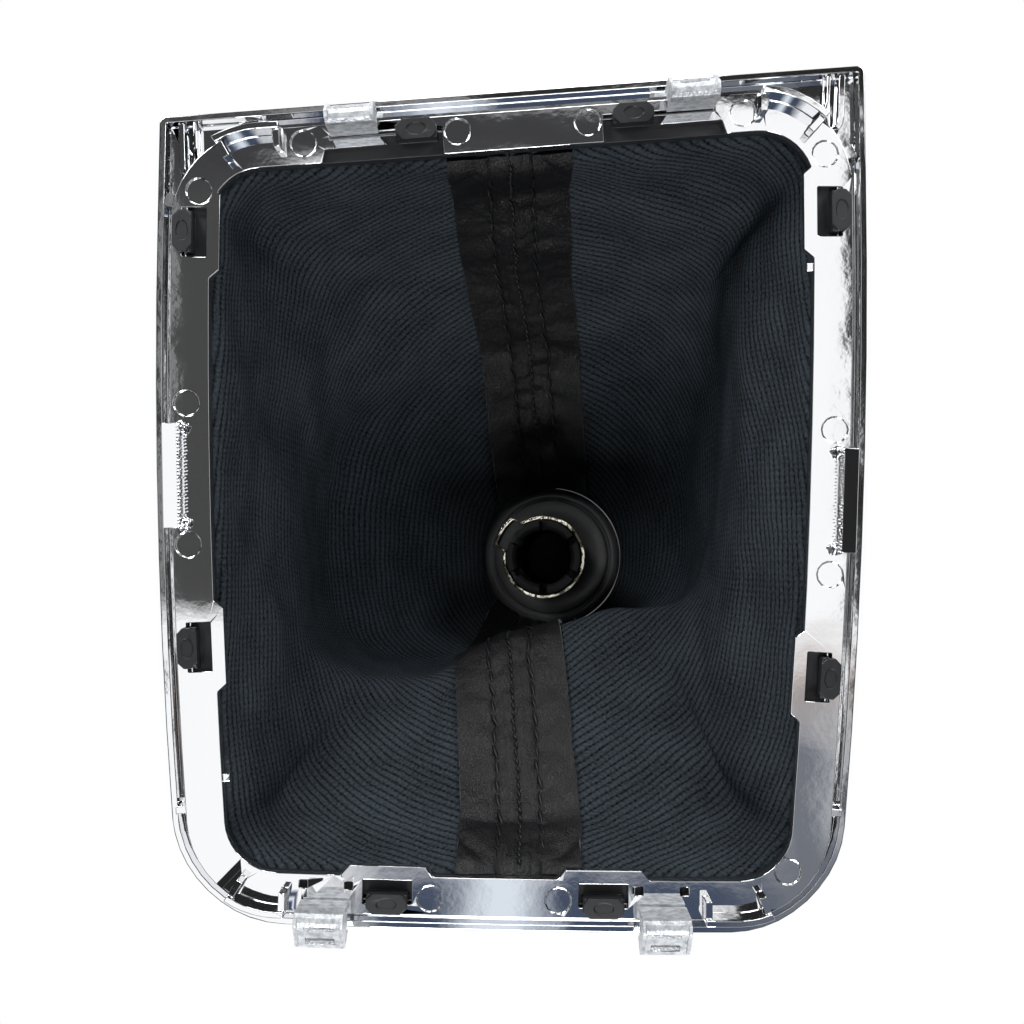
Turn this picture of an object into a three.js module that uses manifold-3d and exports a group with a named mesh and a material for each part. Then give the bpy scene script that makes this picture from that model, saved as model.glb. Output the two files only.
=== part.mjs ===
// Gear knob with its gaiter and plated trim frame, in millimetres.
//
// +Z is up, towards the knob's head, and +Y is the front of the car. The frame lies flat, its
// four spring clips hang below it, and the gaiter rises from it to the leaning knob. Plan
// coordinates are measured from the middle of the frame's flange, and the finished group is
// then moved so that its origin is at the middle of its footprint, level with the clip tips.

import * as THREE from 'three';
import { mergeVertices } from 'three/addons/utils/BufferGeometryUtils.js';
import Module from 'manifold-3d';

const wasm = await Module();
wasm.setup();

// Clearances

const GAP = 0.3; // between pieces that touch on the real object
const BITE = 0.3; // how far a moulded feature reaches into the wall that it grows from
const LEAST_RADIUS = 0.4; // of a corner that is offset inwards
const THROUGH = 1; // how far a cutter runs past the face that it cuts

// Plan of the frame: the outer line of the ring wall

const RING_LENGTH = 140.8; // front to rear, along the middle
const RING_FRONT_WIDTH = 118.8;
const RING_REAR_WIDTH = 110.6;
const FRONT_SLANT = 8.8; // the front edge runs forward by this from right to left
const REAR_SLANT = 2.1; // and the rear edge runs back by this
const REAR_SHIFT = 0.7; // the rear edge's middle lies this far to the right
const RIGHT_BULGE = 2.0;
const LEFT_BULGE = 2.2;
const REAR_BULGE = 0.8;
const RING_CORNER = 15.5; // radius
const ARC_STEPS = 10; // facets on a corner
const SIDE_STEPS = 8; // facets on a side

// Section of the frame

const FLANGE_WIDTH = 6.7; // from the ring's outer line to the opening
const FLANGE_THICK = 2;
const FLANGE_BASE = 10; // height of the flange's underside over the clip tips
const WALL_THICK = 1.8;
const BEZEL_REACH = 4.5; // from the ring's outer line to the bezel's edge
const BEZEL_HEIGHT = 8.2; // the bezel's crown over the flange's underside
const CAP_THICK = 2.2; // the bezel's cap
const SKIRT_THICK = 1.1; // the wall that hangs from the cap
const SKIRT_DROP = 3.4; // the skirt's depth below the cap
const SKIRT_FLARE = 1.5; // the skirt's foot lies this far inside the bezel's edge
const FRONT_FLARE = 0.3; // and this far at the front
const BEZEL_ROUND = 2.2; // rounding of the bezel's upper edge
const BEZEL_FRONT_CORNER = 1.6;
const BEZEL_REAR_CORNER = 20.5;

// Features of the flange

const WINDOW_LENGTH = 8.6;
const LIP = 1.9; // flange left between a window and the ring's outer line
const WINDOW_DEPTH = 4.2;
const LAND_GROWTH = 1.8; // the flange is this much wider beside a window
const LAND_EXTRA = 2.4; // and for this much past each end of it
const NOTCH_LENGTH = 20.8; // the gaps in the front flange, which hold a hook and a clip
const NOTCH_STRIP = 11; // length of the narrow strip beside a front clip
const STRIP_IN = 2.8; // the strip's edges, from the ring's outer line
const STRIP_OUT = 4.3;
const STRIP_ROOT = 1; // length over which the strip joins the lip
const NOTCH_CHAMFER = 1.2;
const EJECTOR_DIAMETER = 4.6;
const EJECTOR_DEPTH = 0.25;
const LOCATOR_DROP = 5; // the corner locators' depth below the flange
const LOCATOR_WALL = 1.2;
const LOCATOR_INSET = 0.1; // from the ring's outer line
const LOCATOR_RETURN = 4.2;
const LATCH_LENGTH = 18;
const LATCH_DROP = 2.6;
const LATCH_WIDTH = 2.4;
const LATCH_REACH = 0.8; // past the ring's outer line
const LATCH_TEETH = 9;
const TOOTH_DEPTH = 0.9;
const NUB_SIZE = 1.4;
const NUB_RISE = 0.8; // the nubs stand this far below the skirt's foot
const CORNER_RIB = 1.1; // thickness of the main rib in each square corner
const CORNER_RIB_INSET = 4.8; // from the bezel's side edge
const CORNER_RIB_RUN = 7.5; // the rib's straight part
const FORK_RIB = 0.6; // thickness of the forked rib beside it
const FORK_RIB_INSET = 7.2;
const FORK_RIB_RUN = 4.5;
const FORK_SPREAD = 1.6;
const SLOT_WIDTH = 1.4; // of the square slots beside a rear clip
const SLOT_INSET = 4.9; // the slots' middle, from the ring's outer line

// Blades and the spring clips on them

const BLADE_WIDTH = 6.6;
const BLADE_THICK = 1.5;
const BLADE_INSET = 0.1; // the blade's outer face, from the ring's outer line
const CLIP_WIDTH = 8.4;
const CLIP_SHEET = 0.6;
const CLIP_LEG_GAP = 0.9; // from the flange to the top of the inner leg
const FRONT_SPLAY = 1.7; // how far the outer leg stands off the ring's outer line
const REAR_SPLAY = 4.6;
const SPLAY_HEIGHT = 6; // height of the outer leg's shoulder
const LEG_TOP = 9.2; // height of the outer leg's bent end
const CHEEK_DROP = 0.5; // the clip's side walls reach this far below its bend
const CHEEK_TOP = 7.4; // height of the side walls' upper edge
const CLIP_SLOT_WIDTH = 5;
const BEND_SLOT = 0.9; // the slot punched beside the bend
const SHOULDER_SLOT = 1.3; // the slot punched below the shoulder
const CLIP_END = 1.2; // length of the bent ends of the outer leg

// Ring that carries the gaiter, and its hooks

const GAITER_RING_WIDTH = 4.2;
const GAITER_RING_THICK = 2.5;
const HOOK_LENGTH = 7.2;
const HOOK_STEM = 1.5;
const HOOK_HEAD_WIDTH = 3.5;
const HOOK_HEAD_THICK = 1.5;
const HOOK_OVERHANG = 1.4; // the head reaches this far under the lip
const HOOK_DIMPLE = 0.3;

// Knob, measured along its own leaning axis from the middle of the clamp

const CLAMP_X = -7;
const CLAMP_Y = -9.8;
const CLAMP_Z = 70;
const LEAN_LEFT = 4; // degrees
const LEAN_REAR = 1.7; // degrees
const BORE_DIAMETER = 12; // takes the gear lever
const SLEEVE_WALL = 1.9;
const COLLET_TIP = 5; // the fingers' reach below the clamp's middle
const COLLET_SLOT_TOP = 9;
const COLLET_SLOTS = 6;
const COLLET_SLOT_WIDTH = 1.7;
const CLAMP_BAND = 6.4; // height
const CLAMP_SHEET = 0.7;
const EAR_RISE = 2.1;
const EAR_ANGLE = 33; // degrees from +X
const EAR_SPAN = 46; // degrees
const COLLAR_BASE = 36;
const COLLAR_HEIGHT = 8;
const COLLAR_DIAMETER = 33.2;
const COLLAR_GROOVE = 1.3;
const COLLAR_LINE = 0.5; // depth of the turned line near the collar's rim
const COLLAR_LINE_INSET = 2.6;
const CORE_DIAMETER = 22; // inside the grip
const BORE_DEPTH = 48; // from the collet's tip
const TRIM_HEIGHT = 5;
const TRIM_DIAMETER = 31.6;
const GRIP_HEIGHT = 66;
const GRIP_WAIST_DIAMETER = 28;
const GRIP_HEAD_DIAMETER = 46;
const CAP_DIAMETER = 31;
const CAP_RISE = 3;
const CAP_RECESS = 2.6;
const EDGE_BREAK = 0.5; // rounding of small edges
const ROUND_STEPS = 36;

// Gaiter

const LEATHER = 1.4; // leather and its knitted backing
const HEM_WIDTH = 3.6; // the part of each panel that lies on the gaiter ring
const FRONT_SEAM_X = 0.9;
const REAR_SEAM_X = -1.1;
const NECK_FRONT_SEAM = 82; // degrees round the neck
const NECK_REAR_SEAM = 285; // degrees round the neck
const NECK_STRAIGHT = 7; // the length that lies straight on the collar
const NECK_DROP = 2.5; // the folds end this far below the collar
const TAPE_WIDTH = 22.8;
const TAPE_THICK = 0.8;
const TAPE_GAP = 0.45; // between a tape and the panels, which bend beside it
const PANEL_COLUMNS = 26;
const GRID_COLUMNS = 96; // round the whole gaiter, for walking along it
const TIE_WIDTH = 3.4;
const TIE_THICK = 1.3;

// The lines that carry the gaiter's form, at evenly spaced places round it, from the front seam
// over the left side to the rear seam and back. The crest of the low wall beside the frame is
// given by its distance in from the foot and its height, and the fold's edge and the shoulder
// below the neck by plan points and heights.
const FOLDS = [
  { crest: [1.5, 30], edge: [-1, 50.9, 55], shoulder: [-4, 37.1, 80] },
  { crest: [3, 30], edge: [-34, 50, 56], shoulder: [-28, 33, 82] },
  { crest: [7.5, 34], edge: [-43.5, 36, 62], shoulder: [-39, 22, 84] },
  { crest: [7.5, 34], edge: [-42.5, 0, 62], shoulder: [-40, -4, 84] },
  { crest: [8, 34], edge: [-37, -17, 53], shoulder: [-37, -20, 78] },
  { crest: [7, 31], edge: [-21, -20.6, 55], shoulder: [-21, -25, 78] },
  { crest: [5, 28], edge: [0.5, -26.6, 56], shoulder: [-2, -31, 80] },
  { crest: [6, 30], edge: [20.9, -34.8, 52], shoulder: [18, -33, 75] },
  { crest: [7, 34], edge: [40, -29, 47], shoulder: [36, -28, 75] },
  { crest: [2.8, 32], edge: [45, -5, 46], shoulder: [41, -8, 78] },
  { crest: [3, 33], edge: [44, 29, 50], shoulder: [37, 18, 82] },
  { crest: [2.5, 31], edge: [30, 47, 56], shoulder: [17, 28, 84] },
];
const FOLD_BEND = 1 / 6; // share of the way to the next line where a bend ends
const FOOT_RISE = 6; // height of the gaiter's foot over the flange

// Plan positions of the features: each goes on the ring wall nearest to its point

const WINDOWS = [[60, 49.2], [57, -23.8], [-60, 52.8], [-57, -29.2], [22, -70], [-16, -70]];
const FRONT_HOOKS = [[17, 70], [-21.2, 70]];
const FRONT_CLIPS = [[27.8, 70], [-31.2, 70]];
const REAR_CLIPS = [[32.8, -70], [-26.3, -70]];
// The third number is the feature's length along the wall.
const LOCATORS = [[46.5, 68, 12], [-50.5, 75, 13], [45, -70, 11], [-39.5, -72, 12]];
const LATCHES = [[61, 6.3], [-61, 1.9]];
const NUBS = [[61, 55.2, 2.4], [-60, 63.9, 2.4], [57, -52.6, 1.4], [-57, -53.2, 1.4],
  [46.6, 70, 3.4], [-51.3, 75.5, 3.4]];
const GATES = [[-61, 43], [58, -47.2]];
// The third number is the distance in from the ring's outer line.
const EJECTORS = [[56, 57, 3.6], [36.7, 66, 3], [9.6, 67, 2.9], [-13.3, 68, 3], [-40.5, 70.5, 3.4],
  [-56.8, 63.9, 3.4], [58, 19.1, 2.9], [57.9, -5.8, 2.8], [-57.5, 14.4, 2.9], [-55.8, -11, 2.9],
  [-49.6, -64.2, 4.2], [14.4, -68, 3], [-8.1, -68.6, 3.1]];

// Solids and joins

function solidOf(geometry) {
  const plain = geometry.clone();
  plain.deleteAttribute('normal');
  plain.deleteAttribute('uv');
  const merged = mergeVertices(plain, 1e-4);
  return new wasm.Manifold(new wasm.Mesh({
    numProp: 3,
    vertProperties: new Float32Array(merged.attributes.position.array),
    triVerts: new Uint32Array(merged.index.array),
  }));
}

function geometryOf(solid) {
  const mesh = solid.getMesh();
  const geometry = new THREE.BufferGeometry();
  geometry.setAttribute('position', new THREE.BufferAttribute(mesh.vertProperties, 3));
  geometry.setIndex(new THREE.BufferAttribute(mesh.triVerts, 1));
  geometry.computeVertexNormals();
  return geometry;
}

function joined(solids) {
  return solids.reduce((sum, solid) => sum.add(solid));
}

function carved(solid, cutters) {
  return cutters.reduce((rest, cutter) => rest.subtract(cutter), solid);
}

// A block given by its limits along each axis.
function block([x0, x1], [y0, y1], [z0, z1]) {
  const box = new THREE.BoxGeometry(x1 - x0, y1 - y0, z1 - z0);
  return box.translate((x0 + x1) / 2, (y0 + y1) / 2, (z0 + z1) / 2);
}

// A prism: an outline of [u, v] points, extruded over a span of the third axis.
function prism(points, [from, to]) {
  const shape = new THREE.Shape(points.map(([u, v]) => new THREE.Vector2(u, v)));
  const body = new THREE.ExtrudeGeometry(shape, { depth: to - from, bevelEnabled: false });
  return body.translate(0, 0, from);
}

function meshOf(points, index) {
  const geometry = new THREE.BufferGeometry();
  const array = points.flatMap((p) => [p.x, p.y, p.z]);
  geometry.setAttribute('position', new THREE.Float32BufferAttribute(array, 3));
  geometry.setIndex(index);
  return geometry;
}

// A ring-shaped body: a closed section whose corners each run along a closed loop.
function swept(loops) {
  const count = loops[0].length;
  const index = loops.flatMap((loop, j) => loop.flatMap((_, i) => {
    const next = (i + 1) % count;
    const after = ((j + 1) % loops.length) * count;
    const a = j * count + i;
    const b = j * count + next;
    const c = after + next;
    const d = after + i;
    return [a, b, c, a, c, d];
  }));
  return meshOf(loops.flat(), index);
}

// A body of revolution about Z from a closed [radius, height] profile, listed with the
// material on its left.
function turned(profile, steps = ROUND_STEPS) {
  const closed = profile[0][0] > 0 ? [...profile, profile[0]] : profile;
  const lathe = new THREE.LatheGeometry(closed.map(([r, z]) => new THREE.Vector2(r, z)), steps);
  return lathe.rotateX(Math.PI / 2);
}

// Plan outlines

function ringCorners() {
  const front = RING_LENGTH / 2;
  return [
    new THREE.Vector2(RING_FRONT_WIDTH / 2, front - FRONT_SLANT / 2),
    new THREE.Vector2(-RING_FRONT_WIDTH / 2, front + FRONT_SLANT / 2),
    new THREE.Vector2(REAR_SHIFT - RING_REAR_WIDTH / 2, -front - REAR_SLANT / 2),
    new THREE.Vector2(REAR_SHIFT + RING_REAR_WIDTH / 2, -front + REAR_SLANT / 2),
  ];
}

const CORNERS = ringCorners();
const BULGES = [0, LEFT_BULGE, REAR_BULGE, RIGHT_BULGE];

// Where two lines cross, each given by a point and a direction.
function crossing(p, u, q, v) {
  const t = ((q.x - p.x) * v.y - (q.y - p.y) * v.x) / (u.x * v.y - u.y * v.x);
  return new THREE.Vector2(p.x + u.x * t, p.y + u.y * t);
}

// The ring's outline with its front, left, rear and right sides moved outwards by a distance
// each, and with its own corner radii, anticlockwise from the front right corner. Every
// outline has the same number of points.
function outline(outsets, radii) {
  const sides = CORNERS.map((corner, i) => {
    const along = CORNERS[(i + 1) % 4].clone().sub(corner).normalize();
    const out = new THREE.Vector2(along.y, -along.x);
    return { start: corner.clone().addScaledVector(out, outsets[i]), along, out };
  });
  const corners = sides.map((side, i) => {
    const before = sides[(i + 3) % 4];
    return crossing(before.start, before.along, side.start, side.along);
  });
  const points = [];
  sides.forEach((side, i) => {
    const before = sides[(i + 3) % 4];
    const turn = Math.acos(before.along.dot(side.along));
    const tangent = radii[i] * Math.tan(turn / 2);
    const centre = corners[i].clone().addScaledVector(before.along, -tangent)
      .addScaledVector(before.out, -radii[i]);
    for (let k = 0; k <= ARC_STEPS; k += 1) {
      const spoke = before.out.clone().rotateAround(new THREE.Vector2(), turn * k / ARC_STEPS);
      points.push(centre.clone().addScaledVector(spoke, radii[i]));
    }
    const after = sides[(i + 1) % 4];
    const end = corners[(i + 1) % 4];
    const turnAfter = Math.acos(side.along.dot(after.along));
    const tangentAfter = radii[(i + 1) % 4] * Math.tan(turnAfter / 2);
    const last = end.clone().addScaledVector(side.along, -tangentAfter);
    const first = points[points.length - 1];
    for (let k = 1; k < SIDE_STEPS; k += 1) points.push(first.clone().lerp(last, k / SIDE_STEPS));
  });
  return points.map(bulged);
}

// Pushes a plan point out by the bow of the sides: full at mid-side, nothing at a corner.
function bulged(point) {
  const moved = point.clone();
  CORNERS.forEach((corner, i) => {
    const side = CORNERS[(i + 1) % 4].clone().sub(corner);
    const length = side.length();
    const along = side.divideScalar(length);
    const out = new THREE.Vector2(along.y, -along.x);
    const middle = corner.clone().addScaledVector(along, length / 2);
    const from = point.clone().sub(middle);
    const across = 2 * from.dot(along) / length;
    const near = THREE.MathUtils.clamp(1 + from.dot(out) / (RING_REAR_WIDTH / 2), 0, 1.2);
    const bow = Math.max(0, 1 - across * across);
    moved.addScaledVector(out, BULGES[i] * bow * near);
  });
  return moved;
}

function ringLine(outset) {
  return outline([outset, outset, outset, outset], CORNERS.map(() => RING_CORNER + outset));
}

// The bezel's edge moved inwards, by its own distance at the front.
function bezelLine(inset, frontInset = inset) {
  const side = BEZEL_REACH - inset;
  const front = Math.max(BEZEL_FRONT_CORNER - frontInset, LEAST_RADIUS);
  const rear = Math.max(BEZEL_REAR_CORNER - inset, LEAST_RADIUS);
  return outline([BEZEL_REACH - frontInset, side, side, side], [front, front, rear, rear]);
}

function raised(line, z) {
  return line.map((p) => new THREE.Vector3(p.x, p.y, z));
}

// A closed line that can be walked by length.
class Walk {
  constructor(points) {
    this.points = points;
    this.starts = [0];
    points.forEach((p, i) => {
      const next = points[(i + 1) % points.length];
      this.starts.push(this.starts[i] + p.distanceTo(next));
    });
    this.length = this.starts[points.length];
  }

  at(distance) {
    const s = ((distance % this.length) + this.length) % this.length;
    let i = this.starts.findIndex((start) => start > s) - 1;
    if (i < 0) i = this.points.length - 1;
    const next = this.points[(i + 1) % this.points.length];
    const share = (s - this.starts[i]) / (this.starts[i + 1] - this.starts[i]);
    return this.points[i].clone().lerp(next, share);
  }

  nearest(target) {
    let best = { gap: Infinity, s: 0 };
    this.points.forEach((p, i) => {
      const step = this.points[(i + 1) % this.points.length].clone().sub(p);
      const share = THREE.MathUtils.clamp(
        target.clone().sub(p).dot(step) / step.lengthSq(), 0, 1);
      const gap = p.clone().addScaledVector(step, share).distanceTo(target);
      if (gap < best.gap) best = { gap, s: this.starts[i] + share * step.length() };
    });
    return best.s;
  }
}

const RING_WALK = new Walk(ringLine(0));

// Puts a body where it belongs on the ring. The body is drawn with X clockwise along the ring
// wall, Y outwards from the ring's outer line and Z up.
function onRing(geometry, [x, y], sidestep = 0) {
  const s = RING_WALK.nearest(new THREE.Vector2(x, y)) + sidestep;
  const at = RING_WALK.at(s);
  const clockwise = RING_WALK.at(s - 2).sub(RING_WALK.at(s + 2)).normalize();
  const place = new THREE.Matrix4().makeBasis(
    new THREE.Vector3(clockwise.x, clockwise.y, 0),
    new THREE.Vector3(-clockwise.y, clockwise.x, 0),
    new THREE.Vector3(0, 0, 1),
  );
  return geometry.clone().applyMatrix4(place).translate(at.x, at.y, 0);
}

// Frame

const FLANGE_TOP = FLANGE_BASE + FLANGE_THICK;
const BEZEL_TOP = FLANGE_BASE + BEZEL_HEIGHT;
const CAP_UNDER = BEZEL_TOP - CAP_THICK;
const SKIRT_FOOT = CAP_UNDER - SKIRT_DROP;

// The skirt's outer face at its foot, moved inwards.
function skirtLine(inset) {
  return bezelLine(SKIRT_FLARE + inset, FRONT_FLARE + inset);
}

function frameBody() {
  const shoulder = BEZEL_TOP - BEZEL_ROUND;
  const innerRound = WALL_THICK / 3;
  return swept([
    raised(ringLine(-FLANGE_WIDTH), FLANGE_BASE),
    raised(ringLine(0), FLANGE_BASE),
    raised(ringLine(0), CAP_UNDER),
    raised(skirtLine(SKIRT_THICK), CAP_UNDER),
    raised(skirtLine(SKIRT_THICK), SKIRT_FOOT),
    raised(skirtLine(0), SKIRT_FOOT),
    raised(bezelLine(0), shoulder),
    raised(bezelLine(BEZEL_ROUND * 0.3), BEZEL_TOP - BEZEL_ROUND * 0.3),
    raised(bezelLine(BEZEL_ROUND), BEZEL_TOP),
    raised(ringLine(innerRound - WALL_THICK), BEZEL_TOP - innerRound / 2),
    raised(ringLine(-WALL_THICK), BEZEL_TOP - innerRound * 1.5),
    raised(ringLine(-WALL_THICK), FLANGE_TOP),
    raised(ringLine(-FLANGE_WIDTH), FLANGE_TOP),
  ]);
}

function flangeSpan(extra) {
  return [FLANGE_BASE - extra, FLANGE_TOP + extra];
}

function lands() {
  const half = WINDOW_LENGTH / 2 + LAND_EXTRA;
  const inner = -FLANGE_WIDTH - LAND_GROWTH;
  const shape = [[-half - LAND_GROWTH, BITE - FLANGE_WIDTH], [-half, inner], [half, inner],
    [half + LAND_GROWTH, BITE - FLANGE_WIDTH]];
  return WINDOWS.map((place) => onRing(prism(shape, flangeSpan(0)), place));
}

function windowCutters() {
  const half = WINDOW_LENGTH / 2;
  const hole = block([-half, half], [-LIP - WINDOW_DEPTH, -LIP], flangeSpan(THROUGH));
  return WINDOWS.map((place) => onRing(hole, place));
}

// Each gap in the front flange takes a hook on its inner end and a clip on its outer end,
// where a narrow strip of flange is left.
function notchCutters() {
  const deep = -FLANGE_WIDTH - LAND_GROWTH;
  return FRONT_CLIPS.map((place) => {
    const side = Math.sign(place[0]);
    const outer = side * (NOTCH_STRIP / 2);
    const strip = outer - side * STRIP_ROOT;
    const middle = -outer;
    const inner = outer - side * NOTCH_LENGTH;
    const plan = [[outer + side * NOTCH_CHAMFER, deep], [outer, -STRIP_OUT],
      [middle, -STRIP_OUT], [middle + side * NOTCH_CHAMFER, -STRIP_IN], [strip, -STRIP_IN],
      [strip, -LIP], [inner, -LIP], [inner, deep]];
    return onRing(prism(side > 0 ? plan.reverse() : plan, flangeSpan(THROUGH)), place);
  });
}

function ejectorCutters() {
  const disc = new THREE.CylinderGeometry(EJECTOR_DIAMETER / 2, EJECTOR_DIAMETER / 2,
    2 * EJECTOR_DEPTH, 14).rotateX(Math.PI / 2);
  return EJECTORS.map(([x, y, inset]) => onRing(disc.clone().translate(0, -inset, FLANGE_BASE),
    [x, y]));
}

// A stretch of the ring wall's own line, between two distances in from its outer line.
function wallStretch([x, y, length], outer, inner, [z0, z1]) {
  const steps = 6;
  const middle = RING_WALK.nearest(new THREE.Vector2(x, y));
  const edge = (inset) => Array.from({ length: steps + 1 }, (_, k) => {
    const s = middle + length * (k / steps - 0.5);
    const along = RING_WALK.at(s + 1).sub(RING_WALK.at(s - 1)).normalize();
    return RING_WALK.at(s).add(new THREE.Vector2(-along.y, along.x).multiplyScalar(inset));
  });
  const line = [...edge(outer), ...edge(inner).reverse()];
  return prism(line.map((p) => [p.x, p.y]), [z0, z1]);
}

function locators() {
  const span = [FLANGE_BASE - LOCATOR_DROP, FLANGE_BASE + BITE];
  const half = LOCATOR_WALL / 2;
  const leg = block([-half, half], [-LOCATOR_RETURN, -LOCATOR_WALL / 2],
    [FLANGE_BASE - LOCATOR_DROP * 0.8, FLANGE_BASE + BITE]);
  return LOCATORS.flatMap(([x, y, length]) => [
    wallStretch([x, y, length], LOCATOR_INSET, LOCATOR_WALL, span),
    onRing(leg, [x, y], length / 2 - half),
    onRing(leg, [x, y], half - length / 2),
  ]);
}

// A toothed bar under the middle of each side, which locks against the console.
function latches() {
  const half = LATCH_LENGTH / 2;
  const span = [FLANGE_BASE - LATCH_DROP, FLANGE_BASE + BITE];
  const bar = block([-half, half], [LATCH_REACH - LATCH_WIDTH, LATCH_REACH], span);
  const pitch = LATCH_LENGTH / LATCH_TEETH;
  const teeth = Array.from({ length: LATCH_TEETH }, (_, k) => {
    const middle = (k + 0.5) * pitch - half;
    const root = LATCH_REACH - LATCH_WIDTH + BITE;
    return prism([[middle - pitch * 0.35, root], [middle - pitch * 0.2, root - BITE - TOOTH_DEPTH],
      [middle + pitch * 0.2, root - BITE - TOOTH_DEPTH], [middle + pitch * 0.35, root]], span);
  });
  return LATCHES.flatMap((place) => [bar, ...teeth].map((piece) => onRing(piece, place)));
}

// Small ribs that tie the ring wall to the skirt, and the stubs left by the mould's gates.
function nubs() {
  const half = NUB_SIZE / 2;
  const stub = block([-half, half], [-FLANGE_WIDTH - NUB_SIZE, BITE - FLANGE_WIDTH],
    flangeSpan(-BITE));
  const ribs = NUBS.map(([x, y, length]) => onRing(block([-length / 2, length / 2],
    [-BITE, BEZEL_REACH - SKIRT_FLARE - SKIRT_THICK + BITE],
    [SKIRT_FOOT - NUB_RISE, CAP_UNDER + BITE]), [x, y]));
  return [...ribs, ...GATES.map((place) => onRing(stub, place))];
}

// A wall of even thickness along an open plan line.
function rib(line, thick, span) {
  return prism(bentSheet(line.map((p) => [p.x, p.y]), thick), span);
}

// Each square corner has a rib that runs back from the front edge and turns in to the ring
// wall, and beside it a thinner rib that ends in a fork.
function cornerRibs() {
  const edge = bezelLine(0);
  const span = [SKIRT_FOOT + BITE, CAP_UNDER + BITE];
  const onWall = (aim) => RING_WALK.at(RING_WALK.nearest(aim));
  return [0, 1].flatMap((corner) => {
    const tip = edge[corner * (ARC_STEPS + SIDE_STEPS) + ARC_STEPS / 2];
    const inward = CORNERS[1 - corner].clone().sub(CORNERS[corner]).normalize();
    const back = CORNERS[3 - corner].clone().sub(CORNERS[corner]).normalize();
    const start = (inset) => tip.clone().addScaledVector(inward, inset)
      .addScaledVector(back, FRONT_FLARE + SKIRT_THICK - BITE);
    const straight = start(CORNER_RIB_INSET).addScaledVector(back, CORNER_RIB_RUN);
    const turn = straight.clone().addScaledVector(back, CORNER_RIB_INSET / 2);
    const end = onWall(turn.clone().addScaledVector(inward, CORNER_RIB_INSET / 2));
    const bend = new THREE.QuadraticBezierCurve(straight, turn, end).getPoints(4);
    const fork = start(FORK_RIB_INSET).addScaledVector(back, FORK_RIB_RUN);
    const prongs = [-1, 1].map((side) => rib([fork, onWall(fork.clone()
      .addScaledVector(inward, side * FORK_SPREAD).addScaledVector(back, FORK_RIB_RUN))],
    FORK_RIB, span));
    return [rib([start(CORNER_RIB_INSET), ...bend], CORNER_RIB, span),
      rib([start(FORK_RIB_INSET), fork], FORK_RIB, span), ...prongs];
  });
}

// The clip's bend is a half circle round the blade's lower edge.
const LEG_IN = -BLADE_INSET - BLADE_THICK - GAP - CLIP_SHEET / 2;
const LEG_OUT = -BLADE_INSET + GAP + CLIP_SHEET / 2;
const BEND_RADIUS = (LEG_OUT - LEG_IN) / 2;
const BEND_HEIGHT = CHEEK_DROP + CLIP_SHEET / 2 + BEND_RADIUS;
const BLADE_FOOT = BEND_HEIGHT;

function blades() {
  const half = BLADE_WIDTH / 2;
  const blade = block([-half, half], [-BLADE_INSET - BLADE_THICK, -BLADE_INSET],
    [BLADE_FOOT, FLANGE_BASE + BITE]);
  return [...FRONT_CLIPS, ...REAR_CLIPS].map((place) => onRing(blade, place));
}

// A square slot through the flange on each side of a rear clip.
function slotCutters() {
  const half = SLOT_WIDTH / 2;
  const slot = block([-half, half], [-SLOT_INSET - half, -SLOT_INSET + half],
    flangeSpan(THROUGH));
  const step = (BLADE_WIDTH + SLOT_WIDTH) / 2;
  return REAR_CLIPS.flatMap((place) => [-step, step].map((side) => onRing(slot, place, side)));
}

function bezelFrame() {
  const added = [...lands(), ...locators(), ...latches(), ...nubs(), ...cornerRibs(), ...blades()];
  const body = joined([frameBody(), ...added].map(solidOf));
  const cutters = [...windowCutters(), ...notchCutters(), ...ejectorCutters(), ...slotCutters()];
  return geometryOf(carved(body, cutters.map(solidOf)));
}

// Spring clips

// Offsets an open [u, v] path to both sides of its middle line, to give a bent sheet.
function bentSheet(path, thick) {
  const side = (sign) => path.map((p, i) => {
    const before = path[Math.max(i - 1, 0)];
    const after = path[Math.min(i + 1, path.length - 1)];
    const a = new THREE.Vector2(p[0] - before[0], p[1] - before[1]);
    const b = new THREE.Vector2(after[0] - p[0], after[1] - p[1]);
    const first = a.length() > 0 ? a.normalize() : b.clone().normalize();
    const second = b.length() > 0 ? b.normalize() : first;
    const middle = first.clone().add(second).normalize();
    const reach = (thick / 2) / Math.max(middle.dot(first), 0.5);
    return [p[0] - sign * middle.y * reach, p[1] + sign * middle.x * reach];
  });
  return [...side(1), ...side(-1).reverse()];
}

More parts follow.
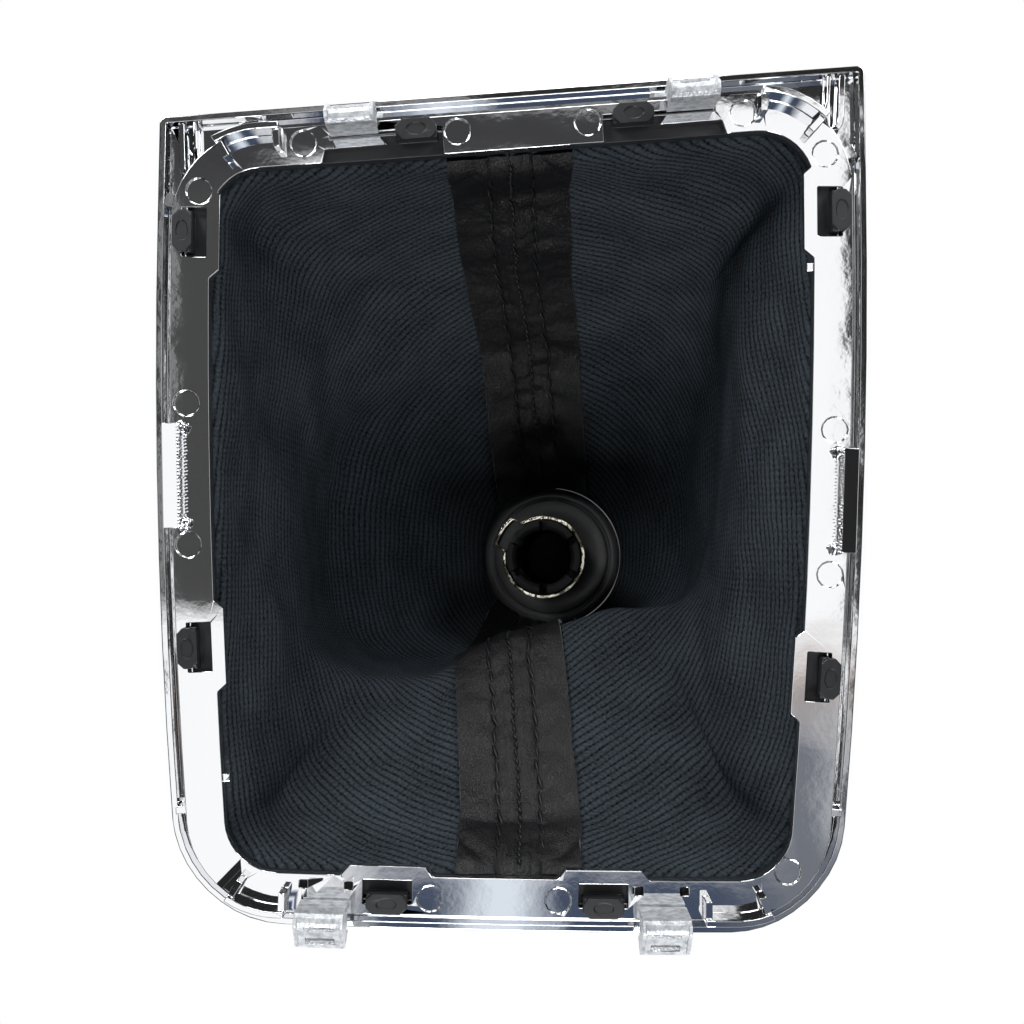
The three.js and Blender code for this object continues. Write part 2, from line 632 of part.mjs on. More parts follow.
// A clip drawn on its ring station: the inner leg, the bend below the blade, and the outer
// leg, which stands off as a spring and is bent back at its end. Two folded side walls frame it.
function springClip(splay) {
  const middle = (LEG_IN + LEG_OUT) / 2;
  const knee = [Math.max(splay * 0.8, LEG_OUT), SPLAY_HEIGHT - CLIP_END];
  const path = [[LEG_IN, FLANGE_BASE - CLIP_LEG_GAP], [LEG_IN, BEND_HEIGHT]];
  const bendSteps = 6;
  for (let k = 1; k <= bendSteps; k += 1) {
    const turn = Math.PI * (1 + k / bendSteps);
    path.push([middle + BEND_RADIUS * Math.cos(turn), BEND_HEIGHT + BEND_RADIUS * Math.sin(turn)]);
  }
  path.push(knee, [splay, SPLAY_HEIGHT], [Math.max(splay * 0.6, LEG_OUT), LEG_TOP]);
  const half = CLIP_WIDTH / 2;
  const sheet = prism(bentSheet(path, CLIP_SHEET), [-half, half]);
  const back = LEG_IN - CLIP_SHEET / 2;
  const wall = [[back, CHEEK_TOP], [back, BEND_HEIGHT], [middle - BEND_RADIUS / 2, 0],
    [middle + BEND_RADIUS / 2, 0], [knee[0] + CHEEK_DROP, knee[1] - CLIP_END],
    [knee[0] + CHEEK_DROP, knee[1] + CLIP_END], [LEG_OUT, CHEEK_TOP]];
  const walls = [[-half, CLIP_SHEET - half], [half - CLIP_SHEET, half]]
    .map((span) => prism(wall, span));
  const slotHalf = CLIP_SLOT_WIDTH / 2;
  const across = [-slotHalf, slotHalf];
  const bendSlot = block(across, [LEG_OUT - BEND_SLOT / 2, LEG_OUT + BEND_SLOT / 2],
    [-THROUGH, BEND_HEIGHT]);
  const shoulderSlot = block(across, [LEG_OUT - CLIP_SHEET, splay + THROUGH],
    [knee[1] - SHOULDER_SLOT, knee[1]]);
  // The prism's own axis becomes the clip's width.
  const standing = (body) => body.rotateX(Math.PI / 2).rotateZ(Math.PI / 2);
  const body = joined([sheet, ...walls].map((piece) => solidOf(standing(piece))));
  const slots = splay > CLIP_END * 2 ? [bendSlot, shoulderSlot] : [bendSlot];
  return geometryOf(carved(body, slots.map(solidOf)));
}

// Gaiter ring

const GAITER_RING_BASE = FLANGE_TOP + GAP;
const GAITER_RING_TOP = GAITER_RING_BASE + GAITER_RING_THICK;
const GAITER_RING_OUTER = WALL_THICK + GAP;
const GAITER_RING_INNER = GAITER_RING_OUTER + GAITER_RING_WIDTH;

function hook() {
  const half = HOOK_LENGTH / 2;
  const face = -LIP - GAP;
  const headTop = FLANGE_BASE - GAP;
  const headFoot = headTop - HOOK_HEAD_THICK;
  const outer = face + GAP + HOOK_OVERHANG;
  const inner = outer - HOOK_HEAD_WIDTH;
  const round = HOOK_HEAD_WIDTH * 0.3;
  const stem = block([-half, half], [face - HOOK_STEM, face],
    [headTop - BITE, GAITER_RING_BASE + BITE]);
  const plan = [[-half, inner + round], [-half + round, inner], [half - round, inner],
    [half, inner + round], [half, outer - round], [half - round, outer], [round - half, outer],
    [-half, outer - round]];
  const head = prism(plan, [headFoot, headTop]);
  const dimple = new THREE.CylinderGeometry(HOOK_HEAD_WIDTH * 0.3, HOOK_HEAD_WIDTH * 0.3,
    2 * HOOK_DIMPLE, 12).rotateX(Math.PI / 2).scale(1.7, 1, 1)
    .translate(0, (inner + outer) / 2, headFoot);
  return carved(joined([solidOf(stem), solidOf(head)]), [solidOf(dimple)]);
}

function gaiterRing() {
  const outer = ringLine(-GAITER_RING_OUTER);
  const inner = ringLine(-GAITER_RING_INNER);
  const body = swept([raised(inner, GAITER_RING_BASE), raised(outer, GAITER_RING_BASE),
    raised(outer, GAITER_RING_TOP), raised(inner, GAITER_RING_TOP)]);
  const shape = geometryOf(hook());
  const hooks = [...WINDOWS, ...FRONT_HOOKS].map((place) => solidOf(onRing(shape, place)));
  return geometryOf(joined([solidOf(body), ...hooks]));
}

// Gaiter

const LEAN = new THREE.Euler(THREE.MathUtils.degToRad(LEAN_REAR),
  THREE.MathUtils.degToRad(-LEAN_LEFT), 0);
const FOOT = new THREE.Vector3(CLAMP_X, CLAMP_Y, CLAMP_Z);
const NECK_RADIUS = COLLAR_DIAMETER / 2 + GAP + LEATHER / 2;

function onKnob(radius, angle, height) {
  const local = new THREE.Vector3(radius * Math.cos(angle), radius * Math.sin(angle), height);
  return local.applyEuler(LEAN).add(FOOT);
}

// The neck angle and the plan point for a column of the gaiter, counted from the front seam.
function column(walk, seams, i) {
  const half = GRID_COLUMNS / 2;
  const left = i < half;
  const share = left ? i / half : (i - half) / half;
  const s = left ? THREE.MathUtils.lerp(seams.front, seams.rear, share)
    : THREE.MathUtils.lerp(seams.rear, seams.front + walk.length, share);
  const degrees = left ? THREE.MathUtils.lerp(NECK_FRONT_SEAM, NECK_REAR_SEAM, share)
    : THREE.MathUtils.lerp(NECK_REAR_SEAM, NECK_FRONT_SEAM + 360, share);
  return { at: walk.at(s), angle: THREE.MathUtils.degToRad(degrees) };
}

function planRow(outset) {
  const walk = new Walk(ringLine(outset));
  const seams = {
    front: walk.nearest(new THREE.Vector2(FRONT_SEAM_X, RING_LENGTH / 2)),
    rear: walk.nearest(new THREE.Vector2(REAR_SEAM_X, -RING_LENGTH / 2)),
  };
  return Array.from({ length: GRID_COLUMNS }, (_, i) => column(walk, seams, i));
}

// A smooth closed curve through the values of one fold line.
function foldLine(name) {
  const points = FOLDS.map(({ [name]: [a, b, c = 0] }) => new THREE.Vector3(a, b, c));
  return new THREE.CatmullRomCurve3(points, true, 'catmullrom', 0.5);
}

// A column's bend at a fold line: its start, its middle and its end.
function bend(before, at, after) {
  const start = at.clone().lerp(before, FOLD_BEND);
  const end = at.clone().lerp(after, FOLD_BEND);
  const chord = start.clone().add(end).divideScalar(2);
  return [start, at.clone().add(chord).divideScalar(2), end];
}

// The middle surface of the gaiter, as rows of points from the hem to the neck.
function gaiterGrid() {
  const hemZ = GAITER_RING_TOP + GAP + LEATHER / 2;
  const footInset = GAITER_RING_INNER + LEATHER * 0.7;
  const flat = (line, z) => line.map(({ at }) => new THREE.Vector3(at.x, at.y, z));
  const around = (line, height) => line.map(({ angle }) => onKnob(NECK_RADIUS, angle, height));
  const foot = planRow(-footInset);
  const inner = flat(planRow(-footInset - 1), FLANGE_TOP + FOOT_RISE);
  const lines = { crest: foldLine('crest'), edge: foldLine('edge'), shoulder: foldLine('shoulder') };
  const hems = [HEM_WIDTH - GAITER_RING_INNER, -GAITER_RING_INNER]
    .map((outset) => flat(planRow(outset), hemZ));
  const necks = [COLLAR_BASE - GAP, COLLAR_BASE + NECK_STRAIGHT]
    .map((height) => around(foot, height));
  const neck = around(foot, COLLAR_BASE - NECK_DROP);
  const columns = flat(foot, FLANGE_TOP + FOOT_RISE).map((start, i) => {
    const share = i / GRID_COLUMNS;
    const { x: inset, y: height } = lines.crest.getPoint(share);
    const crest = start.clone().lerp(inner[i], inset).setZ(height);
    const edge = lines.edge.getPoint(share);
    const shoulder = lines.shoulder.getPoint(share);
    return [start, ...bend(start, crest, edge), ...bend(crest, edge, shoulder),
      ...bend(edge, shoulder, neck[i]), neck[i]];
  });
  return [...hems, ...columns[0].map((_, row) => columns.map((points) => points[row])), ...necks];
}

// Outward normals of the gaiter's middle surface.
function gridNormals(rows) {
  return rows.map((row, j) => row.map((_, i) => {
    const along = row[(i + 1) % row.length].clone().sub(row[(i + row.length - 1) % row.length]);
    const up = rows[Math.min(j + 1, rows.length - 1)][i].clone().sub(rows[Math.max(j - 1, 0)][i]);
    return along.cross(up).normalize();
  }));
}

const GRID = gaiterGrid();
const NORMALS = gridNormals(GRID);

// Points along one row of the gaiter at given distances from a column, moved off the middle
// surface along its normal.
function strand(row, startColumn, distances, lift) {
  const walk = new Walk(GRID[row]);
  const normals = new Walk(GRID[row]);
  normals.points = NORMALS[row];
  const start = walk.starts[startColumn];
  return distances(walk).map((d) => walk.at(start + d)
    .addScaledVector(normals.at(start + d).normalize(), lift));
}

// A closed sheet between two lifts off the gaiter's middle surface, over some of its rows.
function sheet(rows, startColumn, distances, inside, outside) {
  const count = rows.length;
  const under = rows.map((row) => strand(row, startColumn, distances, inside));
  const over = rows.map((row) => strand(row, startColumn, distances, outside));
  const width = under[0].length;
  const points = [...over.flat(), ...under.flat()];
  const shift = count * width;
  const index = [];
  const quad = (a, b, c, d) => index.push(a, b, c, a, c, d);
  for (let j = 0; j < count - 1; j += 1) {
    for (let i = 0; i < width - 1; i += 1) {
      const a = j * width + i;
      quad(a, a + 1, a + 1 + width, a + width);
      quad(shift + a, shift + a + width, shift + a + 1 + width, shift + a + 1);
    }
    const first = j * width;
    const last = first + width - 1;
    quad(first, first + width, shift + first + width, shift + first);
    quad(last, shift + last, shift + last + width, last + width);
  }
  const top = (count - 1) * width;
  for (let i = 0; i < width - 1; i += 1) {
    quad(i, shift + i, shift + i + 1, i + 1);
    quad(top + i, top + i + 1, shift + top + i + 1, shift + top + i);
  }
  return meshOf(points, index);
}

const ALL_ROWS = GRID.map((_, row) => row);

function panel(left) {
  const half = GRID_COLUMNS / 2;
  const span = (walk) => {
    const length = left ? walk.starts[half] : walk.length - walk.starts[half];
    return Array.from({ length: PANEL_COLUMNS + 1 }, (_, k) => THREE.MathUtils.lerp(GAP / 2,
      length - GAP / 2, k / PANEL_COLUMNS));
  };
  return sheet(ALL_ROWS, left ? 0 : half, span, -LEATHER / 2, LEATHER / 2);
}

// The tape lies on the inside of a seam, from the foot of the gaiter up to the collar.
function seamTape(startColumn) {
  const rows = ALL_ROWS.slice(1, -1);
  const across = () => [-0.5, -0.25, 0, 0.25, 0.5].map((share) => share * TAPE_WIDTH);
  const face = -LEATHER / 2 - TAPE_GAP;
  return sheet(rows, startColumn, across, face - TAPE_THICK, face);
}

// Knob

const BORE = BORE_DIAMETER / 2;
const SLEEVE = BORE + SLEEVE_WALL;
const CORE = CORE_DIAMETER / 2;
const COLLAR_TOP = COLLAR_BASE + COLLAR_HEIGHT;
const TRIM_BASE = COLLAR_TOP + GAP;
const TRIM_TOP = TRIM_BASE + TRIM_HEIGHT;
const GRIP_BASE = TRIM_TOP + GAP;
const GRIP_TOP = GRIP_BASE + GRIP_HEIGHT;
const CORE_TOP = GRIP_TOP - CAP_RECESS - GAP;

function knobCore() {
  const shoulder = TRIM_BASE;
  const body = turned([[0, BORE_DEPTH - COLLET_TIP], [BORE, BORE_DEPTH - COLLET_TIP],
    [BORE, EDGE_BREAK - COLLET_TIP], [BORE + EDGE_BREAK, -COLLET_TIP],
    [SLEEVE - EDGE_BREAK / 2, -COLLET_TIP], [SLEEVE, EDGE_BREAK / 2 - COLLET_TIP],
    [SLEEVE, shoulder], [CORE, shoulder], [CORE, CORE_TOP],
    [0, CORE_TOP]]);
  const half = COLLET_SLOT_WIDTH / 2;
  const slots = Array.from({ length: COLLET_SLOTS / 2 }, (_, k) => block([-half, half],
    [-SLEEVE - THROUGH, SLEEVE + THROUGH], [-COLLET_TIP - THROUGH, COLLET_SLOT_TOP])
    .rotateZ(Math.PI * k / (COLLET_SLOTS / 2)));
  return geometryOf(carved(solidOf(body), slots.map(solidOf)));
}

// A sheet band round the collet with one pinched ear.
function earClamp() {
  const inner = SLEEVE + GAP;
  const middle = THREE.MathUtils.degToRad(EAR_ANGLE);
  const span = THREE.MathUtils.degToRad(EAR_SPAN);
  const steps = 48;
  const rise = (angle) => {
    const away = Math.abs(Math.atan2(Math.sin(angle - middle), Math.cos(angle - middle)));
    return EAR_RISE * (1 - THREE.MathUtils.smoothstep(away, span * 0.3, span * 0.5));
  };
  const line = (base) => Array.from({ length: steps }, (_, k) => {
    const angle = 2 * Math.PI * k / steps;
    const r = base + rise(angle);
    return new THREE.Vector3(r * Math.cos(angle), r * Math.sin(angle), 0);
  });
  const at = (loop, z) => loop.map((p) => p.clone().setZ(z));
  const inside = line(inner);
  const outside = line(inner + CLAMP_SHEET);
  const half = CLAMP_BAND / 2;
  return swept([at(inside, -half), at(outside, -half), at(outside, half), at(inside, half)]);
}

function neckCollar() {
  const rim = COLLAR_DIAMETER / 2;
  const inner = SLEEVE + GAP;
  const disc = COLLAR_HEIGHT * 0.3;
  const line = rim - COLLAR_LINE_INSET;
  return turned([[inner, COLLAR_BASE], [line - COLLAR_LINE, COLLAR_BASE],
    [line, COLLAR_BASE + COLLAR_LINE], [line + COLLAR_LINE, COLLAR_BASE],
    [rim - EDGE_BREAK, COLLAR_BASE], [rim, COLLAR_BASE + EDGE_BREAK], [rim, COLLAR_BASE + disc],
    [rim - COLLAR_GROOVE, COLLAR_BASE + disc + EDGE_BREAK],
    [rim - COLLAR_GROOVE, COLLAR_TOP - 2 * EDGE_BREAK], [rim, COLLAR_TOP - EDGE_BREAK],
    [rim, COLLAR_TOP], [inner, COLLAR_TOP]]);
}

function neckTie() {
  const inner = NECK_RADIUS + LEATHER / 2 + GAP;
  const middle = COLLAR_BASE + NECK_STRAIGHT / 2 + EDGE_BREAK;
  const half = TIE_WIDTH / 2;
  return turned([[inner, middle - half], [inner + TIE_THICK, middle - half * 0.7],
    [inner + TIE_THICK, middle + half * 0.7], [inner, middle + half]]);
}

function trimRing() {
  const rim = TRIM_DIAMETER / 2;
  const inner = CORE + GAP;
  return turned([[inner, TRIM_BASE], [rim - EDGE_BREAK, TRIM_BASE],
    [rim, TRIM_BASE + TRIM_HEIGHT * 0.25], [rim - EDGE_BREAK / 2, TRIM_BASE + TRIM_HEIGHT * 0.6],
    [rim - 3 * EDGE_BREAK, TRIM_TOP], [inner, TRIM_TOP]]);
}

// A half-profile through the grip's waist and head, rounded over at the top.
function grip() {
  const inner = CORE + GAP;
  const waist = GRIP_WAIST_DIAMETER / 2;
  const head = GRIP_HEAD_DIAMETER / 2;
  const mouth = CAP_DIAMETER / 2 + GAP;
  const curve = new THREE.SplineCurve([[waist + 1.2, 0], [waist, 0.12], [waist + 0.6, 0.26],
    [(waist + head) / 2, 0.45], [head - 0.8, 0.62], [head, 0.76], [head - 1.6, 0.9],
    [mouth + 1, 1]].map(([r, share]) => new THREE.Vector2(r, GRIP_BASE + GRIP_HEIGHT * share)));
  const side = curve.getPoints(14).map((p) => [p.x, p.y]);
  return turned([[inner, GRIP_BASE], ...side, [mouth, GRIP_TOP], [mouth, GRIP_TOP - CAP_RECESS],
    [inner, GRIP_TOP - CAP_RECESS]]);
}

function cap() {
  const base = GRIP_TOP - CAP_RECESS + GAP;
  const rim = CAP_DIAMETER / 2;
  const crown = GRIP_TOP + CAP_RISE;
  return turned([[0, base], [rim, base], [rim, GRIP_TOP],
    [rim - 2 * EDGE_BREAK, GRIP_TOP + EDGE_BREAK],
    [rim * 0.7, crown - CAP_RISE * 0.4], [rim * 0.4, crown - CAP_RISE * 0.12], [0, crown]]);
}

// Finishes and assembly

const FINISH = {
  chrome: { color: 0xd4d8dd, metalness: 1, roughness: 0.08 },
  zinc: { color: 0xc9ccd0, metalness: 1, roughness: 0.45 },
  brass: { color: 0xb3a48c, metalness: 1, roughness: 0.25 },
  black: { color: 0x232426, metalness: 0, roughness: 0.5 },
  leather: { color: 0x1a1b1d, metalness: 0, roughness: 0.6 },
  tape: { color: 0x202123, metalness: 0, roughness: 0.55 },
  lacquer: { color: 0x141516, metalness: 0, roughness: 0.3 },
};

function piece(name, geometry, finish) {
  const mesh = new THREE.Mesh(geometry, new THREE.MeshStandardMaterial(FINISH[finish]));
  mesh.name = name;
  return mesh;
}

const base = new THREE.Group();
base.add(piece('bezel_frame', bezelFrame(), 'chrome'));
base.add(piece('gaiter_ring', gaiterRing(), 'black'));
base.add(piece('gaiter_left_panel', panel(true), 'leather'));
base.add(piece('gaiter_right_panel', panel(false), 'leather'));
base.add(piece('front_seam_tape', seamTape(0), 'tape'));
base.add(piece('rear_seam_tape', seamTape(GRID_COLUMNS / 2), 'tape'));
const clipSides = (place) => (place[0] > 0 ? 'right' : 'left');
FRONT_CLIPS.forEach((place) => base.add(piece(`spring_clip_front_${clipSides(place)}`,
  onRing(springClip(FRONT_SPLAY), place), 'zinc')));
REAR_CLIPS.forEach((place) => base.add(piece(`spring_clip_rear_${clipSides(place)}`,
  onRing(springClip(REAR_SPLAY), place), 'zinc')));

const knob = new THREE.Group();
knob.position.copy(FOOT);
knob.rotation.copy(LEAN);
knob.add(piece('knob_core', knobCore(), 'black'));
knob.add(piece('ear_clamp', earClamp(), 'brass'));
knob.add(piece('gaiter_neck_collar', neckCollar(), 'black'));
knob.add(piece('neck_retaining_ring', neckTie(), 'black'));
knob.add(piece('knob_trim_ring', trimRing(), 'chrome'));
knob.add(piece('knob_grip', grip(), 'leather'));
knob.add(piece('knob_cap', cap(), 'lacquer'));

const group = new THREE.Group();
group.add(base, knob);
group.updateMatrixWorld(true);
const footprint = new THREE.Box3().setFromObject(group, true);
const middle = footprint.getCenter(new THREE.Vector3());
group.position.set(-middle.x, -middle.y, -footprint.min.z);

export default group;
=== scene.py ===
# %% [markdown]
# # A gear knob with its gaiter, seen from underneath
# The part is a car's gear knob, the leather boot below it and the plated frame that clips the
# boot into the console. The photograph shows it from below, so the plated frame with its
# windows and clips comes first, then the knitted inside of the boot, and deep inside it the
# sleeve that takes the gear lever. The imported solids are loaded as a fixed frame, and every
# piece below is made where they are.

# %% Load the frame
import math

import bmesh
import bpy
import numpy as np
from mathutils import Matrix, Vector, noise
from mathutils.geometry import delaunay_2d_cdt


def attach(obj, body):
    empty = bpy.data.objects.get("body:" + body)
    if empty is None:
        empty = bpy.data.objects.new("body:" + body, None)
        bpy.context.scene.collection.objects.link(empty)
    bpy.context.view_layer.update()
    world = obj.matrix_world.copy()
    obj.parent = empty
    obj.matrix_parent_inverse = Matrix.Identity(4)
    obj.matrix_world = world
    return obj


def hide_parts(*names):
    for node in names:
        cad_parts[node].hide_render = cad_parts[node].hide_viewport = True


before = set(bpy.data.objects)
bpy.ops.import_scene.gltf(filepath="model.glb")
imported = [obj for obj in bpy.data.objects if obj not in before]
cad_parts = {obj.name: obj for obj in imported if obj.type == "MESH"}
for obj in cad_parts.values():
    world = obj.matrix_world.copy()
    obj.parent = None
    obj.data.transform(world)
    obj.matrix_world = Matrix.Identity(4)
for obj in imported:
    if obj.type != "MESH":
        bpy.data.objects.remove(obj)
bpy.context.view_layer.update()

MM = 0.001
# The middle of the frame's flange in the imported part, which the plan sizes are measured from.
FLANGE_MIDDLE = Vector((-0.114, -1.513, 0)) * MM
print("solids:", sorted(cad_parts))

# %% [markdown]
# Blender's operators act on everything that is selected, and loading leaves the solids
# selected. One helper therefore clears the selection and makes one object active, another runs
# steps of edit mode on the whole of a mesh, and a last one ends each piece: it gives the piece
# its materials, hangs it on the root body and hides the solids that it stands for.

# %% Helpers for pieces
ROUND_STEPS = 96
MERGE_DISTANCE = 0.01 * MM


def pick(piece):
    if bpy.context.mode != "OBJECT":
        bpy.ops.object.mode_set(mode="OBJECT")
    bpy.ops.object.select_all(action="DESELECT")
    piece.select_set(True)
    bpy.context.view_layer.objects.active = piece


def mesh_piece(name, points, faces=(), edges=()):
    mesh = bpy.data.meshes.new(name)
    mesh.from_pydata([tuple(p) for p in points], list(edges), list(faces))
    piece = bpy.data.objects.new(name, mesh)
    bpy.context.collection.objects.link(piece)
    pick(piece)
    return piece


def edited(piece, *steps):
    """Runs each step in edit mode, on the whole mesh."""
    pick(piece)
    bpy.ops.object.mode_set(mode="EDIT")
    for step in steps:
        bpy.ops.mesh.select_all(action="SELECT")
        step()
    bpy.ops.object.mode_set(mode="OBJECT")


def merge_close():
    bpy.ops.mesh.remove_doubles(threshold=MERGE_DISTANCE)


def face_outwards():
    bpy.ops.mesh.normals_make_consistent(inside=False)


def smooth_below(degrees):
    bpy.ops.object.shade_smooth_by_angle(angle=math.radians(degrees))


def apply_all(piece):
    pick(piece)
    for modifier in list(piece.modifiers):
        bpy.ops.object.modifier_apply(modifier=modifier.name)


def finish_piece(piece, materials, slot, *nodes):
    piece.data.materials.clear()
    for material in materials:
        piece.data.materials.append(material)
    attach(piece, "root")
    if nodes:
        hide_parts(*nodes)
    print(f"{piece.name}: {len(piece.data.polygons)} faces")


# %% [markdown]
# ## Materials
# Colours are written as they look on a screen and turned to linear light by one function. One
# more function adds a node with its settings and its links, and each material is a short list
# of such calls. Pattern sizes are real ones: a pattern of so many millimetres becomes a scale
# of a thousand over that number, because the texture space is in metres.

# %% Helpers for materials
def linear(colour):
    parts = [int(colour[i:i + 2], 16) / 255 for i in (1, 3, 5)]
    return [p / 12.92 if p <= 0.04045 else ((p + 0.055) / 1.055) ** 2.4 for p in parts] + [1]


def new_material(name):
    material = bpy.data.materials.new(name)
    material.use_nodes = True
    tree = material.node_tree
    return material, tree, tree.nodes["Principled BSDF"]


def add(tree, kind, inputs=None, **settings):
    made = tree.nodes.new("ShaderNode" + kind)
    for name, value in settings.items():
        setattr(made, name, value)
    for socket, source in (inputs or {}).items():
        if isinstance(source, bpy.types.NodeSocket):
            tree.links.new(source, made.inputs[socket])
        else:
            made.inputs[socket].default_value = source
    return made


def per_mm(size):
    return 1 / (size * MM)


def in_object(tree):
    return add(tree, "TexCoord").outputs["Object"]


def noise_of(tree, place, size, detail, **more):
    """A noise with features of a size in millimetres."""
    return add(tree, "TexNoise", {"Vector": place, "Scale": per_mm(size), "Detail": detail,
                                  **more}).outputs["Fac"]


def maths(tree, operation, *values):
    return add(tree, "Math", dict(enumerate(values)), operation=operation).outputs["Value"]


def spread(tree, value, low, high, to_low=0.0, to_high=1.0, **settings):
    """A value's range from low to high, stretched to another range."""
    return add(tree, "MapRange", {"Value": value, "From Min": low, "From Max": high,
                                  "To Min": to_low, "To Max": to_high}, **settings
               ).outputs["Result"]


def two_tone(tree, factor, dark, light, start=0.0, end=1.0):
    ramp = add(tree, "ValToRGB", {"Fac": factor})
    for element, place, colour in zip(ramp.color_ramp.elements, (start, end), (dark, light)):
        element.position = place
        element.color = colour
    return ramp.outputs["Color"]


def bumped(tree, height, strength, depth, under=None):
    """A bump of a depth in millimetres, laid over another bump if there is one."""
    below = {"Normal": under} if under else {}
    return add(tree, "Bump", {"Height": height, "Strength": strength, "Distance": depth * MM,
                              **below}).outputs["Normal"]


def shaded(tree, shader, linked, **constants):
    """Links the shader's sockets and sets its constants, with _ for a space in their names."""
    for socket, source in linked.items():
        tree.links.new(source, shader.inputs[socket])
    for name, value in constants.items():
        shader.inputs[name.replace("_", " ")].default_value = value


# %% [markdown]
# The frame is ABS plastic, plated with copper, nickel and a last bright layer of chromium. The
# plating is a mirror that follows every small wave of the moulding, so the surface is metal
# with almost no roughness and a very weak, long wave in its bump. The waves are what makes the
# reflections of straight things crawl a little, as they do on plated plastic.

# %% Chrome plate on ABS
def chrome_plate():
    material, tree, shader = new_material("chrome_plate_on_abs")
    place = in_object(tree)
    long_waves = bumped(tree, noise_of(tree, place, 14, 1.0), 0.12, 0.6)
    waves = bumped(tree, noise_of(tree, place, 2.2, 3.0), 0.05, 0.12, long_waves)
    shaded(tree, shader, {"Normal": waves}, Base_Color=linear("#f3f4f6"), Metallic=1,
           Roughness=0.035)
    return material


CHROME = chrome_plate()

# %% [markdown]
# The ring with the hooks, the sleeve and the collar are moulded in black plastic from a spark
# eroded tool, which leaves a fine satin grain of about a fifth of a millimetre. Dark plastic
# shows that grain mostly in how its highlights spread, so it goes into roughness and bump.

# %% Satin black plastic
def satin_plastic(name, colour, roughness, shine=0.5):
    material, tree, shader = new_material(name)
    place = in_object(tree)
    dull = spread(tree, noise_of(tree, place, 5, 4.0), 0.3, 0.7, roughness - 0.06,
                  roughness + 0.1)
    grain = bumped(tree, noise_of(tree, place, 0.22, 2.0), 0.25, 0.05)
    shaded(tree, shader, {"Roughness": dull, "Normal": grain}, Base_Color=linear(colour),
           Specular_IOR_Level=shine)
    return material


HOOK_ABS = satin_plastic("satin_black_abs", "#2b2c2f", 0.38)
SLEEVE_NYLON = satin_plastic("glass_filled_black_nylon", "#0e0f10", 0.55, shine=0.2)
COLLAR_NYLON = satin_plastic("matt_black_collar_nylon", "#737476", 0.34)

# %% [markdown]
# The four clips are stamped from spring steel and zinc plated. Barrel plating leaves bright,
# uneven crystals of zinc some tenths of a millimetre wide, so the clips sparkle where the
# chromium beside them mirrors. A fine cell pattern tilts the surface a little in each grain.

# %% Zinc plate
def zinc_plate():
    material, tree, shader = new_material("barrel_zinc_plated_spring_steel")
    place = in_object(tree)
    cells = add(tree, "TexVoronoi", {"Vector": place, "Scale": per_mm(0.45)})
    cloud = noise_of(tree, place, 1.3, 5.0)
    colour = two_tone(tree, cloud, linear("#b4bac2"), linear("#f4f7fa"), 0.3, 0.62)
    grains = bumped(tree, maths(tree, "ADD", cells.outputs["Distance"], cloud), 0.55, 0.12)
    shaded(tree, shader, {"Base Color": colour, "Normal": grains}, Metallic=0.4, Roughness=0.42)
    return material


ZINC = zinc_plate()

# %% [markdown]
# The clamp's band is steel with a bright, slightly warm nickel plate. It was rolled, and pinched
# by hand, so its surface waves strongly. Its colour goes from dark brown to bright in patches,
# which is painted light: the patches paint the broken highlights of its reflections.

# %% Bright nickel plate
def nickel_plate():
    material, tree, shader = new_material("bright_nickel_plated_steel_band")
    place = in_object(tree)
    waves = bumped(tree, noise_of(tree, place, 2.4, 3.0), 0.8, 0.6)
    # painted highlights: the plate's colour is dark brown in some patches and bright in others,
    # standing in for broken reflections
    colour = two_tone(tree, noise_of(tree, place, 4.5, 2.0), linear("#4a463d"),
                      linear("#f2ecdc"), 0.44, 0.6)
    shaded(tree, shader, {"Base Color": colour, "Normal": waves}, Metallic=1, Roughness=0.12)
    return material


NICKEL = nickel_plate()

# %% [markdown]
# The boot is leather with a knitted backing glued to its inside, and from below only the
# backing shows. It is a rib knit: columns of loops stand up as cords about a millimetre and a
# third apart, and each cord is a row of small slanted loops. The cords run straight on the
# flat-cut panel, so the pattern reads the panel's own map, which is laid out flat in metres.
# The height of the cords, loops and fuzz also gives the colour, because light hardly reaches
# the furrows between the cords.

# %% Rib-knit backing
RIB_PITCH = 1.36
LOOP_PITCH = 0.85
CORD_SWAY = 1.5
CORD_ROUND = 0.55
LOOP_LEAN = 2.2
LOOP_HEIGHT = 0.09
FUZZ_HEIGHT = 2.2


def rib_knit():
    material, tree, shader = new_material("blue_black_rib_knit_backing")
    flat = add(tree, "UVMap", uv_map="flat_cut").outputs["UV"]
    axes = add(tree, "SeparateXYZ", {"Vector": flat}).outputs
    drift = noise_of(tree, flat, 9, 3.0)
    across = maths(tree, "ADD", axes["Y"], maths(tree, "MULTIPLY", drift, CORD_SWAY * MM))
    turn = maths(tree, "MULTIPLY", across, math.pi * per_mm(RIB_PITCH))
    arch = maths(tree, "ABSOLUTE", maths(tree, "SINE", turn))
    cord = maths(tree, "POWER", arch, CORD_ROUND)
    step = maths(tree, "MULTIPLY", axes["X"], 2 * math.pi * per_mm(LOOP_PITCH))
    slant = maths(tree, "ADD", step, maths(tree, "MULTIPLY", arch, LOOP_LEAN))
    ribs = maths(tree, "MULTIPLY", cord, spread(tree, drift, 0.35, 0.65, 0.7, 1.0))
    loops = maths(tree, "MULTIPLY_ADD", maths(tree, "SINE", slant), LOOP_HEIGHT, ribs)
    fuzz = noise_of(tree, flat, 0.55, 3.0, Roughness=0.75)
    relief = maths(tree, "MULTIPLY_ADD", fuzz, FUZZ_HEIGHT, loops)
    colour = two_tone(tree, spread(tree, relief, 1.15, 2.6), linear("#080b0c"),
                      linear("#566069"))
    shaded(tree, shader, {"Base Color": colour, "Normal": bumped(tree, relief, 0.8, 0.2)},
           Roughness=0.95, Specular_IOR_Level=0.15)
    return material


KNIT = rib_knit()
